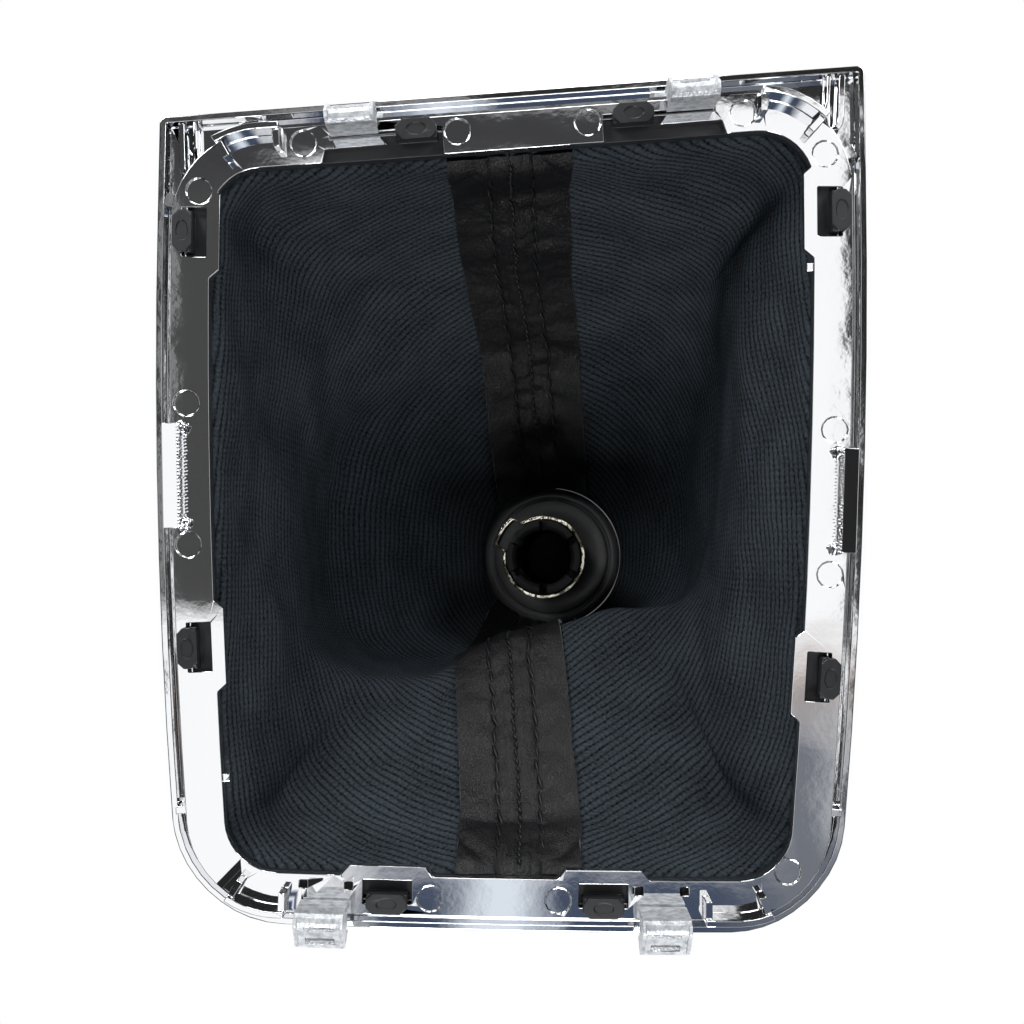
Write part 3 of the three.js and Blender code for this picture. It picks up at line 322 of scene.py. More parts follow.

# %% [markdown]
# The leather is split hide with a pressed grain: small rounded pebbles with creases between
# them. Cells of about a millimetre give the pebbles, a finer set of cells breaks them up, and
# a slow noise makes some places a little shinier, where hands have rubbed. The creases between
# the pebbles are painted darker than their tops, as painted shade. The thin leather of the tape
# has fine diagonal wrinkles below its grain.

# %% Pressed-grain leather
CREASE_SHADE = 0.55
WRINKLE_TURN = math.radians(35)


def grained_leather(name, colour, pebble, roughness, depth, stretch=(1, 1, 1), wrinkle=0,
                    shine=0.45):
    material, tree, shader = new_material(name)
    place = in_object(tree)
    spot = add(tree, "Mapping", {"Vector": place, "Scale": stretch}).outputs["Vector"]
    warp = add(tree, "TexNoise", {"Vector": spot, "Scale": per_mm(pebble * 2.5)})
    push = add(tree, "VectorMath", {0: warp.outputs["Color"], "Scale": pebble * MM * 0.8},
               operation="SCALE")
    bent = add(tree, "VectorMath", {0: spot, 1: push.outputs["Vector"]}, operation="ADD")
    large, small = (add(tree, "TexVoronoi", {"Vector": bent.outputs["Vector"],
                                             "Scale": per_mm(size)},
                        feature="DISTANCE_TO_EDGE").outputs["Distance"]
                    for size in (pebble, pebble * 0.45))
    dome = spread(tree, large, 0.0, 0.28, interpolation_type="SMOOTHSTEP")
    crumb = spread(tree, small, 0.0, 0.3, 0.0, 0.4, interpolation_type="SMOOTHSTEP")
    top = linear(colour)
    # painted shade: the creases between the pebbles are darkened to this share of the top colour
    painted_crease_shade = [CREASE_SHADE * c for c in top[:3]] + [1]
    dull = spread(tree, noise_of(tree, place, 18, 3.0), 0.3, 0.7, roughness + 0.08,
                  roughness - 0.06)
    under = None
    if wrinkle:
        diagonal = add(tree, "Mapping", {"Vector": place, "Scale": (1, 0.3, 1),
                                         "Rotation": (0, 0, WRINKLE_TURN)}).outputs["Vector"]
        under = bumped(tree, noise_of(tree, diagonal, wrinkle, 4.0), 0.8, 0.5)
    grain = bumped(tree, maths(tree, "ADD", dome, crumb), 0.6, depth, under)
    shaded(tree, shader, {"Base Color": two_tone(tree, dome, painted_crease_shade, top), "Roughness": dull,
                          "Normal": grain}, Specular_IOR_Level=shine)
    return material


BOOT_LEATHER = grained_leather("pressed_grain_boot_leather", "#26272a", 1.0, 0.5, 0.12)
GRIP_LEATHER = grained_leather("polished_nappa_grip_leather", "#222326", 0.7, 0.4, 0.05)
TAPE_LEATHER = grained_leather("thin_finished_leather_tape", "#222224", 0.42, 0.36, 0.08,
                               stretch=(1, 0.6, 1), wrinkle=2.2, shine=0.42)

# %% [markdown]
# Where leather is cut, its pale fibres show, and the thread is twisted from bonded plies. Both
# are fine noise that gives the colour and the bump. The cap is polished black plastic, with
# faint swirls in how sharply it mirrors.

# %% Cut edge, thread and gloss black
def fibrous(name, dark, light, size, detail, strength, depth, roughness):
    material, tree, shader = new_material(name)
    fibre = noise_of(tree, in_object(tree), size, detail)
    shaded(tree, shader, {"Base Color": two_tone(tree, fibre, linear(dark), linear(light)),
                          "Normal": bumped(tree, fibre, strength, depth)}, Roughness=roughness)
    return material


def gloss_abs():
    material, tree, shader = new_material("polished_black_abs")
    swirl = noise_of(tree, in_object(tree), 6, 4.0)
    shaded(tree, shader, {"Roughness": spread(tree, swirl, 0.0, 1.0, 0.06, 0.16)},
           Base_Color=linear("#141517"), Coat_Weight=0.4, Coat_Roughness=0.04)
    return material


CUT_EDGE = fibrous("raw_cut_leather_edge", "#5d5f62", "#d2d3d4", 0.3, 5.0, 0.6, 0.1, 0.9)
THREAD = fibrous("bonded_black_polyester_thread", "#0c0c0d", "#2a2b2d", 0.25, 2.0, 0.5, 0.08,
                 0.45)
GLOSS_ABS = gloss_abs()
print("materials:", [m.name for m in bpy.data.materials])

# %% [markdown]
# ## Camera, light and floor
# The photograph looks straight up into the boot from about a quarter of a metre below the
# frame, so the camera stands on the frame's own axis and looks up, with the front of the car at
# the top of the picture. Its focal length in pixels comes from how fast the frame's sizes
# shrink with their height.

# %% Camera
CAMERA_DROP = 240 * MM
PHOTO_WIDTH = 1024
FOCAL_PIXELS = 1425
SENSOR = 36

camera_data = bpy.data.cameras.new("camera")
camera_data.sensor_width = SENSOR
camera_data.lens = SENSOR * FOCAL_PIXELS / PHOTO_WIDTH
camera = bpy.data.objects.new("camera", camera_data)
bpy.context.collection.objects.link(camera)
LOOKING_UP = Matrix(((-1, 0, 0, 0), (0, 1, 0, 0), (0, 0, -1, 0), (0, 0, 0, 1)))
camera.matrix_world = Matrix.Translation(
    (FLANGE_MIDDLE.x, FLANGE_MIDDLE.y, -CAMERA_DROP)) @ LOOKING_UP
bpy.context.scene.camera = camera
bpy.context.scene.view_settings.view_transform = "Standard"
print("camera:", tuple(round(v, 4) for v in camera.location))

# %% [markdown]
# Plating has no colour of its own: it shows what stands round it. In the photograph the flat
# flange mirrors a small white table round the camera with a few grey and blue cards on it, and
# past the table's edge a dark room with a few bright streaks, which is why the sloped walls of
# the bezel are black with thin white lines. A flange point that lies x and y from the axis
# mirrors the direction (x, y) over the distance from the camera to its mirror image, so the
# cards are given in those slopes, and a later card lies over an earlier one.
#
# Cloth and leather get a different world: nearly black below, a weak light that comes in low
# from the sides, and a bright ceiling for the hidden side. The background that the camera sees
# directly is white.

# %% World
CARDS = [
    # name, slope limits in x, slope limits in y, softness, colour
    ("white_table", (-0.237, 0.247), (-0.60, 0.29), 0.004, "#ffffff"),
    ("charcoal_left", (0.17, 0.25), (-0.07, 0.292), 0.012, "#484848"),
    ("charcoal_front", (-0.13, 0.25), (0.235, 0.292), 0.012, "#3e3e40"),
    ("navy_rear", (-0.26, 0.12), (-0.60, -0.235), 0.03, "#434d60"),
    ("cloud_rear", (-0.02, 0.035), (-0.60, -0.2), 0.02, "#dfe6ee"),
    ("umber_right", (-0.24, -0.17), (-0.15, -0.105), 0.03, "#9a8478"),
    ("slate_right", (-0.24, -0.17), (-0.60, -0.14), 0.03, "#70747c"),
]
# Heights of a direction, from -1 straight down to 1 straight up, over which one light fades
# into the next.
CARDS_FADE = (-0.5, -0.6)
MIRRORED_CEILING = (0.0, 0.25)
LOW_LIGHT = (-0.86, -0.6)
CLOTH_CEILING = (0.02, 0.3)
LEAST_DOWN = 0.05  # a slope is worked out below this height, and is kept finite above it
STREAK_SCALE = 4.0
STREAKS = (0.58, 0.66)  # of the noise, where a streak begins and is full
MIRROR_LEVEL = 1.05
DARK_ROOM = 0.02
CLOTH_CORE = 0.01
CLOTH_RIM = 0.13
CLOTH_SKY = 0.7


def mixed(tree, factor, first, second):
    return add(tree, "Mix", {0: factor, 2: first, 3: second}, data_type="FLOAT"
               ).outputs["Result"]


def mixed_colour(tree, factor, first, second, **settings):
    return add(tree, "Mix", {0: factor, 6: first, 7: second}, data_type="RGBA", **settings
               ).outputs[2]


def mirrored_room(tree, direction, axes):
    """The colour that a mirror sees in each direction: the cards, and the room round them."""
    down = maths(tree, "MAXIMUM", maths(tree, "MULTIPLY", axes["Z"], -1.0), LEAST_DOWN)
    slopes = [maths(tree, "DIVIDE", axes[axis], down) for axis in "XY"]
    below = spread(tree, axes["Z"], *CARDS_FADE)
    streaks = add(tree, "TexNoise", {"Vector": direction, "Scale": STREAK_SCALE, "Detail": 1.0})
    streak = spread(tree, streaks.outputs["Fac"], *STREAKS, DARK_ROOM, 1.0)
    room = mixed(tree, spread(tree, axes["Z"], *MIRRORED_CEILING),
                 mixed(tree, below, streak, DARK_ROOM), 1.0)
    shade = add(tree, "CombineColor", {part: room for part in ("Red", "Green", "Blue")}
                ).outputs["Color"]
    for name, x_limits, y_limits, soft, colour in CARDS:
        mask = below
        for slope, (low, high) in zip(slopes, (x_limits, y_limits)):
            for edge, side in ((low, soft), (high, -soft)):
                mask = maths(tree, "MULTIPLY", mask,
                             spread(tree, slope, edge - side, edge + side))
        shade = mixed_colour(tree, mask, shade, linear(colour), label=name)
    return shade


def studio_world():
    world = bpy.data.worlds.new("white_studio")
    bpy.context.scene.world = world
    world.use_nodes = True
    tree = world.node_tree
    direction = add(tree, "TexCoord").outputs["Generated"]
    axes = add(tree, "SeparateXYZ", {"Vector": direction}).outputs
    light = add(tree, "LightPath").outputs
    mirrored = light["Is Glossy Ray"]
    colour = mixed_colour(tree, mirrored, (1, 1, 1, 1), mirrored_room(tree, direction, axes))
    low = spread(tree, axes["Z"], *LOW_LIGHT, CLOTH_CORE, CLOTH_RIM)
    cloth = spread(tree, axes["Z"], *CLOTH_CEILING, low, CLOTH_SKY)
    level = mixed(tree, mirrored, cloth, MIRROR_LEVEL)
    level = mixed(tree, light["Is Camera Ray"], level, 1.0)
    background = tree.nodes["Background"]
    tree.links.new(colour, background.inputs["Color"])
    tree.links.new(level, background.inputs["Strength"])


studio_world()

# %% [markdown]
# Four lamps stand below the part, close to the opening, so their light falls off quickly and
# leaves the depth of the boot dark, as in the photograph. The plating mirrors them, which draws
# the thin white lines on its edges. A fifth lamp lights the hidden side from above.

# %% Lamps
LAMPS = [
    # name, place and aim in metres, width, watts, mirrored
    ("soft_box_left", (0.19, 0.24, -0.21), (0, -0.03, 0.04), 0.12, 0.6, True),
    ("soft_box_right", (-0.2, 0.2, -0.21), (0, -0.03, 0.04), 0.12, 0.36, True),
    ("soft_box_rear", (0.0, -0.3, -0.2), (0, 0.04, 0.04), 0.12, 0.75, True),
    ("soft_box_front", (0.0, 0.42, -0.15), (0, -0.05, 0.03), 0.15, 0.6, True),
    ("soft_box_above", (-0.35, -0.45, 0.65), (0, 0, 0.08), 0.5, 4, False),
]
for name, place, aim, width, power, mirrored in LAMPS:
    lamp = bpy.data.objects.new(name, bpy.data.lights.new(name, "AREA"))
    lamp.data.size = width
    lamp.data.energy = power
    lamp.visible_glossy = mirrored
    lamp.location = place
    lamp.rotation_euler = (Vector(aim) - Vector(place)).to_track_quat("-Z", "Y").to_euler()
    bpy.context.collection.objects.link(lamp)
print("lamps:", len(LAMPS))

# %% [markdown]
# The floor is a plain pale sheet at the height of the clip tips. The photograph looks up from
# below it, so it shows only to the camera and only from above, and it lets all light through.

# %% Floor
FLOOR_SIZE = 3.0


def pale_floor():
    bpy.ops.object.select_all(action="DESELECT")
    bpy.ops.mesh.primitive_plane_add(size=FLOOR_SIZE)
    floor = bpy.context.object
    floor.name = "floor"
    material, tree, shader = new_material("matt_white_paper")
    shaded(tree, shader, {}, Base_Color=linear("#f2f2f2"), Roughness=0.9)
    back = add(tree, "NewGeometry").outputs["Backfacing"]
    shown = maths(tree, "MULTIPLY", add(tree, "LightPath").outputs["Is Camera Ray"],
                  maths(tree, "SUBTRACT", 1.0, back))
    clear = add(tree, "BsdfTransparent").outputs["BSDF"]
    mix = add(tree, "MixShader", {0: shown, 1: clear, 2: shader.outputs["BSDF"]})
    tree.links.new(mix.outputs["Shader"], tree.nodes["Material Output"].inputs["Surface"])
    floor.data.materials.append(material)


pale_floor()

# %% [markdown]
# ## The outline in plan
# The latch bars and the whole boot follow the line of the frame's ring wall: a four-sided
# outline whose front and rear lines slant, with bowed sides and round corners. It is made as a
# closed row of points that can be moved outwards, and a closed line is walked by its length.

# %% Plan outline of the frame
RING_LENGTH = 140.8
RING_FRONT_WIDTH = 118.8
RING_REAR_WIDTH = 110.6
FRONT_SLANT = 8.8
REAR_SLANT = 2.1
REAR_SHIFT = 0.7
SIDE_BOWS = (0, 2.2, 0.8, 2.0)  # front, left, rear and right
RING_CORNER = 15.5
CORNER_POINTS = 20
SIDE_POINTS = 30
SEARCH_POINTS = 8001


def unit(v):
    return v / np.linalg.norm(v)


def outward(along):
    return np.array([along[1], -along[0]])


RING_CORNERS = np.array([
    [RING_FRONT_WIDTH / 2, (RING_LENGTH - FRONT_SLANT) / 2],
    [-RING_FRONT_WIDTH / 2, (RING_LENGTH + FRONT_SLANT) / 2],
    [REAR_SHIFT - RING_REAR_WIDTH / 2, -(RING_LENGTH + REAR_SLANT) / 2],
    [REAR_SHIFT + RING_REAR_WIDTH / 2, -(RING_LENGTH - REAR_SLANT) / 2]])
SIDES = [unit(RING_CORNERS[(i + 1) % 4] - RING_CORNERS[i]) for i in range(4)]


def crossing(p, u, q, v):
    return p + u * ((q[0] - p[0]) * v[1] - (q[1] - p[1]) * v[0]) / (u[0] * v[1] - u[1] * v[0])


def bowed(points):
    moved = points.copy()
    for corner, after, along, bow in zip(RING_CORNERS, np.roll(RING_CORNERS, -1, 0), SIDES,
                                         SIDE_BOWS):
        offset = points - (corner + after) / 2
        across = 2 * offset @ along / np.linalg.norm(after - corner)
        near = np.clip(1 + offset @ outward(along) / (RING_REAR_WIDTH / 2), 0, 1.2)
        moved += np.outer(bow * np.maximum(0, 1 - across ** 2) * near, outward(along))
    return moved


def ring_line(outset):
    """The outer line of the ring wall moved outwards, in millimetres, anticlockwise."""
    starts = [corner + outward(along) * outset for corner, along in zip(RING_CORNERS, SIDES)]
    corners = [crossing(starts[i - 1], SIDES[i - 1], starts[i], SIDES[i]) for i in range(4)]
    radius = RING_CORNER + outset
    turns = [math.acos(SIDES[i - 1] @ SIDES[i]) for i in range(4)]
    points = []
    for i in range(4):
        before = outward(SIDES[i - 1])
        tangent = radius * math.tan(turns[i] / 2)
        centre = corners[i] - SIDES[i - 1] * tangent - before * radius
        for angle in np.linspace(0, turns[i], CORNER_POINTS + 1):
            spin = np.array([[math.cos(angle), -math.sin(angle)],
                             [math.sin(angle), math.cos(angle)]])
            points.append(centre + radius * spin @ before)
        after = (i + 1) % 4
        last = corners[after] - SIDES[i] * radius * math.tan(turns[after] / 2)
        first = points[-1]
        points += [first + (last - first) * k / SIDE_POINTS for k in range(1, SIDE_POINTS)]
    return bowed(np.array(points))


def marks_along(points):
    """How far each point lies along an open line."""
    steps = np.linalg.norm(np.diff(points, axis=0), axis=1)
    return np.concatenate([[0], np.cumsum(steps)])


def closed(points):
    return np.vstack([points, points[:1]])


def at_marks(marks, values, places):
    return np.stack([np.interp(places, marks, values[:, k]) for k in range(values.shape[1])],
                    -1)


def walked(points, values, distance):
    """The values at a distance along the closed line through the points."""
    marks = marks_along(closed(points))
    return at_marks(marks, closed(values), np.mod(distance, marks[-1]))


def nearest_distance(points, target):
    trial = np.linspace(0, marks_along(closed(points))[-1], SEARCH_POINTS)
    gaps = np.linalg.norm(walked(points, points, trial) - np.array(target), axis=1)
    return trial[gaps.argmin()]


def evenly_round(front, rear, whole, shares):
    """Places on a closed line, from the front seam to the rear one and on to the front."""
    left = front + (rear - front) * shares * 2
    right = rear + (front + whole - rear) * (shares * 2 - 1)
    return np.where(shares < 0.5, left, right)


print("frame outline:", len(ring_line(0)), "points")

# %% [markdown]
# ## Rigid pieces
# The frame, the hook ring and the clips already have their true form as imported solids, but
# their edges are knife sharp. Real moulded and stamped edges are broken by a radius of a tenth
# or two of a millimetre, and on plating each of them shows as a thin bright line. So each solid
# is copied, its triangles are merged back into faces, its edges are bevelled, and the normals
# are weighted so that flat faces stay flat. A flat face that runs right round the frame would
# have the windows as holes in it, so the merge stops at every few degrees.
#
# A bevel that is wider than the wall beside it folds faces over, so each edge gets a width that
# suits its room. A face whose outline the bevel has still made touch itself is filled again,
# triangle by triangle, and the small gaps and double faces that are left are mended.

# %% Broken edges on a copy of a solid
MERGE_SECTOR = 4  # degrees
FLAT_WITHIN = math.radians(0.5)
WRONG_FILL = 1.002  # a good filling has the area of its face
AREA_NOISE = 1e-10
POINT_NOISE = 1e-5
SIDE_ON = 0.8  # an edge that meets another at less than this cosine takes room from it
ROOM_SHARE = 0.42
SLIVER = 0.005 * MM
CROWDED_AREA = 0.1 * MM * MM
MEND_ROUNDS = 3
FILL_INSIDE = 1  # the triangulation's mode that leaves out what lies outside the outline


def wrongly_filled(mesh):
    mesh.calc_loop_triangles()
    filled = [0.0] * len(mesh.polygons)
    for triangle in mesh.loop_triangles:
        filled[triangle.polygon_index] += triangle.area
    return [p.index for p in mesh.polygons if filled[p.index] > p.area * WRONG_FILL + AREA_NOISE]


def fill_again(shape, face):
    """Replaces a face with triangles that stay inside its outline."""
    normal = face.normal.copy()
    turn = normal.to_track_quat("Z", "Y").to_matrix().transposed()
    corners = list(face.verts)
    flat = [turn @ corner.co / MM for corner in corners]
    spots, _, triangles, sources, _, owners = delaunay_2d_cdt(
        [p.to_2d() for p in flat], [], [list(range(len(flat)))], FILL_INSIDE, POINT_NOISE)
    ends = [corners[source[0]] if source else shape.verts.new(
        turn.transposed() @ Vector((*spot, flat[0].z)) * MM)
        for spot, source in zip(spots, sources)]
    for triangle, owner in zip(triangles, owners):
        three = [ends[i] for i in triangle]
        if owner and not shape.faces.get(three):
            part = shape.faces.new(three, face)
            part.normal_update()
            if part.normal.dot(normal) < 0:
                part.normal_flip()
    shape.faces.remove(face)


def open_rims(shape):
    return [edge for edge in shape.edges if edge.is_boundary]


def mend(shape):
    """Takes out slivers and small double faces, and closes the gaps that they leave."""
    for _ in range(MEND_ROUNDS):
        bmesh.ops.remove_doubles(shape, verts=shape.verts, dist=MERGE_DISTANCE)
        bmesh.ops.dissolve_degenerate(shape, edges=shape.edges, dist=SLIVER)
        crowded = {face for edge in shape.edges if len(edge.link_faces) > 2
                   for face in edge.link_faces if face.calc_area() < CROWDED_AREA}
        bmesh.ops.delete(shape, geom=list(crowded), context="FACES")
        patches = bmesh.ops.holes_fill(shape, edges=open_rims(shape), sides=0)["faces"]
        bmesh.ops.triangulate(shape, faces=patches)
        bmesh.ops.triangle_fill(shape, edges=open_rims(shape), use_beauty=True)
    loose = [edge for edge in shape.edges if not edge.link_faces]
    bmesh.ops.delete(shape, geom=loose, context="EDGES")


def refilled(mesh):
    shape = bmesh.new()
    shape.from_mesh(mesh)
    shape.faces.ensure_lookup_table()
    for face in [shape.faces[i] for i in wrongly_filled(mesh)]:
        fill_again(shape, face)
    mend(shape)
    full = sum(len(edge.link_faces) > 2 for edge in shape.edges)
    print(mesh.name, "keeps", len(open_rims(shape)), "open and", full, "crowded edges")
    bmesh.ops.recalc_face_normals(shape, faces=shape.faces)
    shape.to_mesh(mesh)
    shape.free()
    mesh.validate()


def bevel_weights(mesh, width, sharp):
    """Marks the sharp edges, with less width where the next sharp edges leave little room."""
    shape = bmesh.new()
    shape.from_mesh(mesh)
    weight = shape.edges.layers.float.new("bevel_weight_edge")
    keen = {edge for edge in shape.edges
            if edge.is_manifold and edge.calc_face_angle() > math.radians(sharp)}
    for edge in keen:
        room = width
        for corner in edge.verts:
            along = (edge.other_vert(corner).co - corner.co).normalized()
            for crossed in corner.link_edges:
                side = crossed.other_vert(corner).co - corner.co
                if crossed is not edge and crossed in keen and abs(
                        side.normalized().dot(along)) < SIDE_ON:
                    room = min(room, ROOM_SHARE * side.length)
        edge[weight] = room / width
    shape.to_mesh(mesh)
    shape.free()


def merged_copy(name, node):
    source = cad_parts[node]
    piece = bpy.data.objects.new(name, source.data.copy())
    bpy.context.collection.objects.link(piece)
    for k in range(2):
        piece.data.materials.append(bpy.data.materials.new(f"sector_{k}"))
    edited(piece, merge_close)
    for face in piece.data.polygons:
        turn = math.degrees(math.atan2(face.center.y, face.center.x)) % 360
        face.material_index = int(turn / MERGE_SECTOR) % 2
    edited(piece, lambda: bpy.ops.mesh.dissolve_limited(angle_limit=FLAT_WITHIN,
                                                        delimit={"MATERIAL"}))
    piece.data.materials.clear()
    return piece


def eased(piece, width, sharp=28, segments=3):
    bevel_weights(piece.data, width, sharp)
    bevel = piece.modifiers.new("edges", "BEVEL")
    bevel.width = width
    bevel.segments = segments
    bevel.limit_method = "WEIGHT"
    bevel.use_clamp_overlap = False
    bevel.miter_outer = "MITER_ARC"
    bevel.face_strength_mode = "FSTR_ALL"
    apply_all(piece)
    refilled(piece.data)
    pick(piece)
    smooth_below(40)
    weighted = piece.modifiers.new("flat_faces", "WEIGHTED_NORMAL")
    weighted.keep_sharp = True
    weighted.use_face_influence = True
    apply_all(piece)
    return piece


# %% [markdown]
# Moulded plastic has rounder edges than stamped sheet, so the hook ring gets a bevel of a fifth
# of a millimetre and the clips one of about a tenth.

# %% Hook ring and clips
RING_EASE = 0.2 * MM
CLIP_EASE = 0.12 * MM

finish_piece(eased(merged_copy("hooked_gaiter_ring", "gaiter_ring"), RING_EASE), [HOOK_ABS],
             "black_plastic", "gaiter_ring")
for corner in ("front_left", "front_right", "rear_left", "rear_right"):
    clip = eased(merged_copy(f"bent_clip_{corner}", f"spring_clip_{corner}"), CLIP_EASE)
    finish_piece(clip, [ZINC], "zinc_plate", f"spring_clip_{corner}")

# %% [markdown]
# Under the middle of each side of the frame stands a bar with a row of teeth, which locks
# against the console. The solid has nine coarse teeth, and the real ones are finer and ragged,
# as teeth cut into a mould by hand are. The coarse teeth of the copy are therefore pushed back
# into the bar, and a comb goes over it: its outline in plan is filled, extruded down and its
# edges are broken. A lump of flash is left at each end.

# %% Plated frame with its latch bars
FRAME_EASE = 0.16 * MM
COMB_EASE = 0.14 * MM
FLANGE_BASE = 10
LATCH_PLACES = {"left": (61, 6.3), "right": (-61, 1.9)}
LATCH_HALF = 9
LATCH_BOTTOM = 7.4
COARSE_TIP = -2.5
NEAR = 0.05
BAR_SIDES = (-1.75, 0.85)
COMB_TEETH = 30
COMB_REACH = 0.8
COMB_RAGGED = 0.5
COMB_OVERLAP = 0.1  # past each end of the bar
COMB_ROOT = 0.15  # into the flange
TOOTH_SHARES = (0.12, 0.3, 0.55, 0.8)  # of the pitch: root, both ends of the tip, root
FACE_LEAN = {"left": -0.077, "right": 0.02}
LUMP_RADIUS = 1.15
LUMP_PLACE = (LATCH_HALF - 0.6, BAR_SIDES[0] - 0.5, FLANGE_BASE - 0.9)


def latch_place(place):
    line = ring_line(0)
    spot = nearest_distance(line, place)
    at, before, after = (walked(line, line, spot + step) for step in (0, -2, 2))
    x, y = unit(before - after)
    at = at * MM + np.array(FLANGE_MIDDLE)[:2]
    return Matrix(((x, -y, 0, at[0]), (y, x, 0, at[1]), (0, 0, 1, 0), (0, 0, 0, 1)))


def without_coarse_teeth(piece):
    for place in LATCH_PLACES.values():
        there = latch_place(place)
        back = there.inverted()
        for vertex in piece.data.vertices:
            x, y, z = back @ vertex.co / MM
            if abs(x) < LATCH_HALF and abs(y - COARSE_TIP) < NEAR and z < FLANGE_BASE + NEAR:
                vertex.co = there @ (Vector((x, BAR_SIDES[0] + NEAR, z)) * MM)
    return piece


def comb_outline(seed):
    front, rear = BAR_SIDES
    end = LATCH_HALF + COMB_OVERLAP
    pitch = 2 * LATCH_HALF / COMB_TEETH
    outline = [(end, front), (end, rear), (-end, rear), (-end, front)]
    for k in range(COMB_TEETH):
        ragged = COMB_RAGGED * noise.noise(Vector((k * 0.83, seed, 0)))
        reach = COMB_REACH * (0.75 + ragged)
        start = k * pitch - LATCH_HALF
        outline += [(start + share * pitch, y) for share, y in zip(
            TOOTH_SHARES, (front, front - reach, front - reach, front))]
    return outline


def flash_lump(end, seed):
    bpy.ops.object.select_all(action="DESELECT")
    bpy.ops.mesh.primitive_ico_sphere_add(subdivisions=4, radius=LUMP_RADIUS * MM)
    lump = bpy.context.object
    x, y, z = LUMP_PLACE
    for vertex in lump.data.vertices:
        bulge = 1 + 0.45 * noise.noise(vertex.co / (0.8 * MM) + Vector((end, seed, 3)))
        vertex.co = vertex.co * bulge + Vector((end * x * MM, y * MM, z * MM))
    bpy.ops.object.shade_smooth()


def latch_comb(hand, place):
    drop = (0, 0, (LATCH_BOTTOM - FLANGE_BASE - COMB_ROOT - 0.1) * MM)
    points = [(x * MM, y * MM, (FLANGE_BASE + COMB_ROOT) * MM)
              for x, y in comb_outline(place[0])]
    comb = mesh_piece(f"toothed_latch_bar_{hand}", points, [tuple(range(len(points)))])
    edited(comb, lambda: bpy.ops.mesh.extrude_region_move(
        TRANSFORM_OT_translate={"value": drop}), face_outwards)
    for vertex in comb.data.vertices:
        if vertex.co.z < FLANGE_BASE * MM:
            vertex.co.z += FACE_LEAN[hand] * (vertex.co.y - BAR_SIDES[0] * MM)
    eased(comb, COMB_EASE)
    for end in (-1, 1):
        flash_lump(end, place[0])
        comb.select_set(True)
        bpy.context.view_layer.objects.active = comb
        bpy.ops.object.join()
    comb.data.transform(latch_place(place))
    comb.data.update()
    return comb


bezel = without_coarse_teeth(merged_copy("plated_bezel_frame", "bezel_frame"))
finish_piece(eased(bezel, FRAME_EASE), [CHROME], "chrome", "bezel_frame")
for hand, place in LATCH_PLACES.items():
    finish_piece(latch_comb(hand, place), [CHROME], "chrome", "bezel_frame")

# %% [markdown]
# ## The boot
# The boot is two flat-cut panels of backed leather, sewn together at the front and the rear,
# glued to the hook ring at the foot and held on the collar at the neck. Between the two it is
# free, so it sags into folds. Four lines that go round it carry its whole form: the foot at the
# ring, the crest of the low wall beside the frame, the edge where the slack rear folds over,
# and a shoulder below the neck. Everything between them is one smooth surface, which is the
# way that a pattern cutter would describe it too.
#
# Each column of the boot starts at a share of the way round the foot, counted from the front
# seam over the left side to the rear seam and back over the right side, and ends at the
# matching angle of the neck, so no column is ever twisted.

# %% Columns of the boot
FRONT_SEAM_X = 0.9
REAR_SEAM_X = -1.1
NECK_SEAMS = (82, 285)  # degrees round the neck: front seam, rear seam
KNOB_FOOT = Vector((-7, -9.8, 70))
LEAN_LEFT = 4
LEAN_REAR = 1.7
COLLAR_BASE = 36
COLLAR_RADIUS = 16.6
LEATHER = 1.4
CLEARANCE = 0.3
NECK_RADIUS = COLLAR_RADIUS + CLEARANCE + LEATHER / 2
COLUMNS = 480
KNOB_PLACE = (Matrix.Translation(FLANGE_MIDDLE + KNOB_FOOT * MM)
              @ Matrix.Rotation(math.radians(LEAN_REAR), 4, "X")
              @ Matrix.Rotation(math.radians(-LEAN_LEFT), 4, "Y"))


def plan_row(outset, shares):
    line = ring_line(outset)
    length = marks_along(closed(line))[-1]
    front = nearest_distance(line, (FRONT_SEAM_X, RING_LENGTH / 2))
    rear = nearest_distance(line, (REAR_SEAM_X, -RING_LENGTH / 2))
    if rear < front:
        rear += length
    return walked(line, line, evenly_round(front, rear, length, shares))


def neck_row(height, shares):
    angles = np.radians(evenly_round(*NECK_SEAMS, 360, shares))
    ring = [KNOB_PLACE @ Vector((NECK_RADIUS * math.cos(a) * MM, NECK_RADIUS * math.sin(a) * MM,
                                 height * MM)) - FLANGE_MIDDLE for a in angles]
    return np.array([tuple(p / MM) for p in ring])


# %% [markdown]
# The fold lines are read from the photograph at twelve places, evenly spaced round the boot
# from the front seam: how far the crest of the low wall lies inside the foot and how high it
# is, and then the plan place and height of the rear fold's edge and of the shoulder. Between
# the places each line is a smooth periodic curve, and up each column the corners are cut three
# times, which leaves the soft radius that leather takes at a fold.

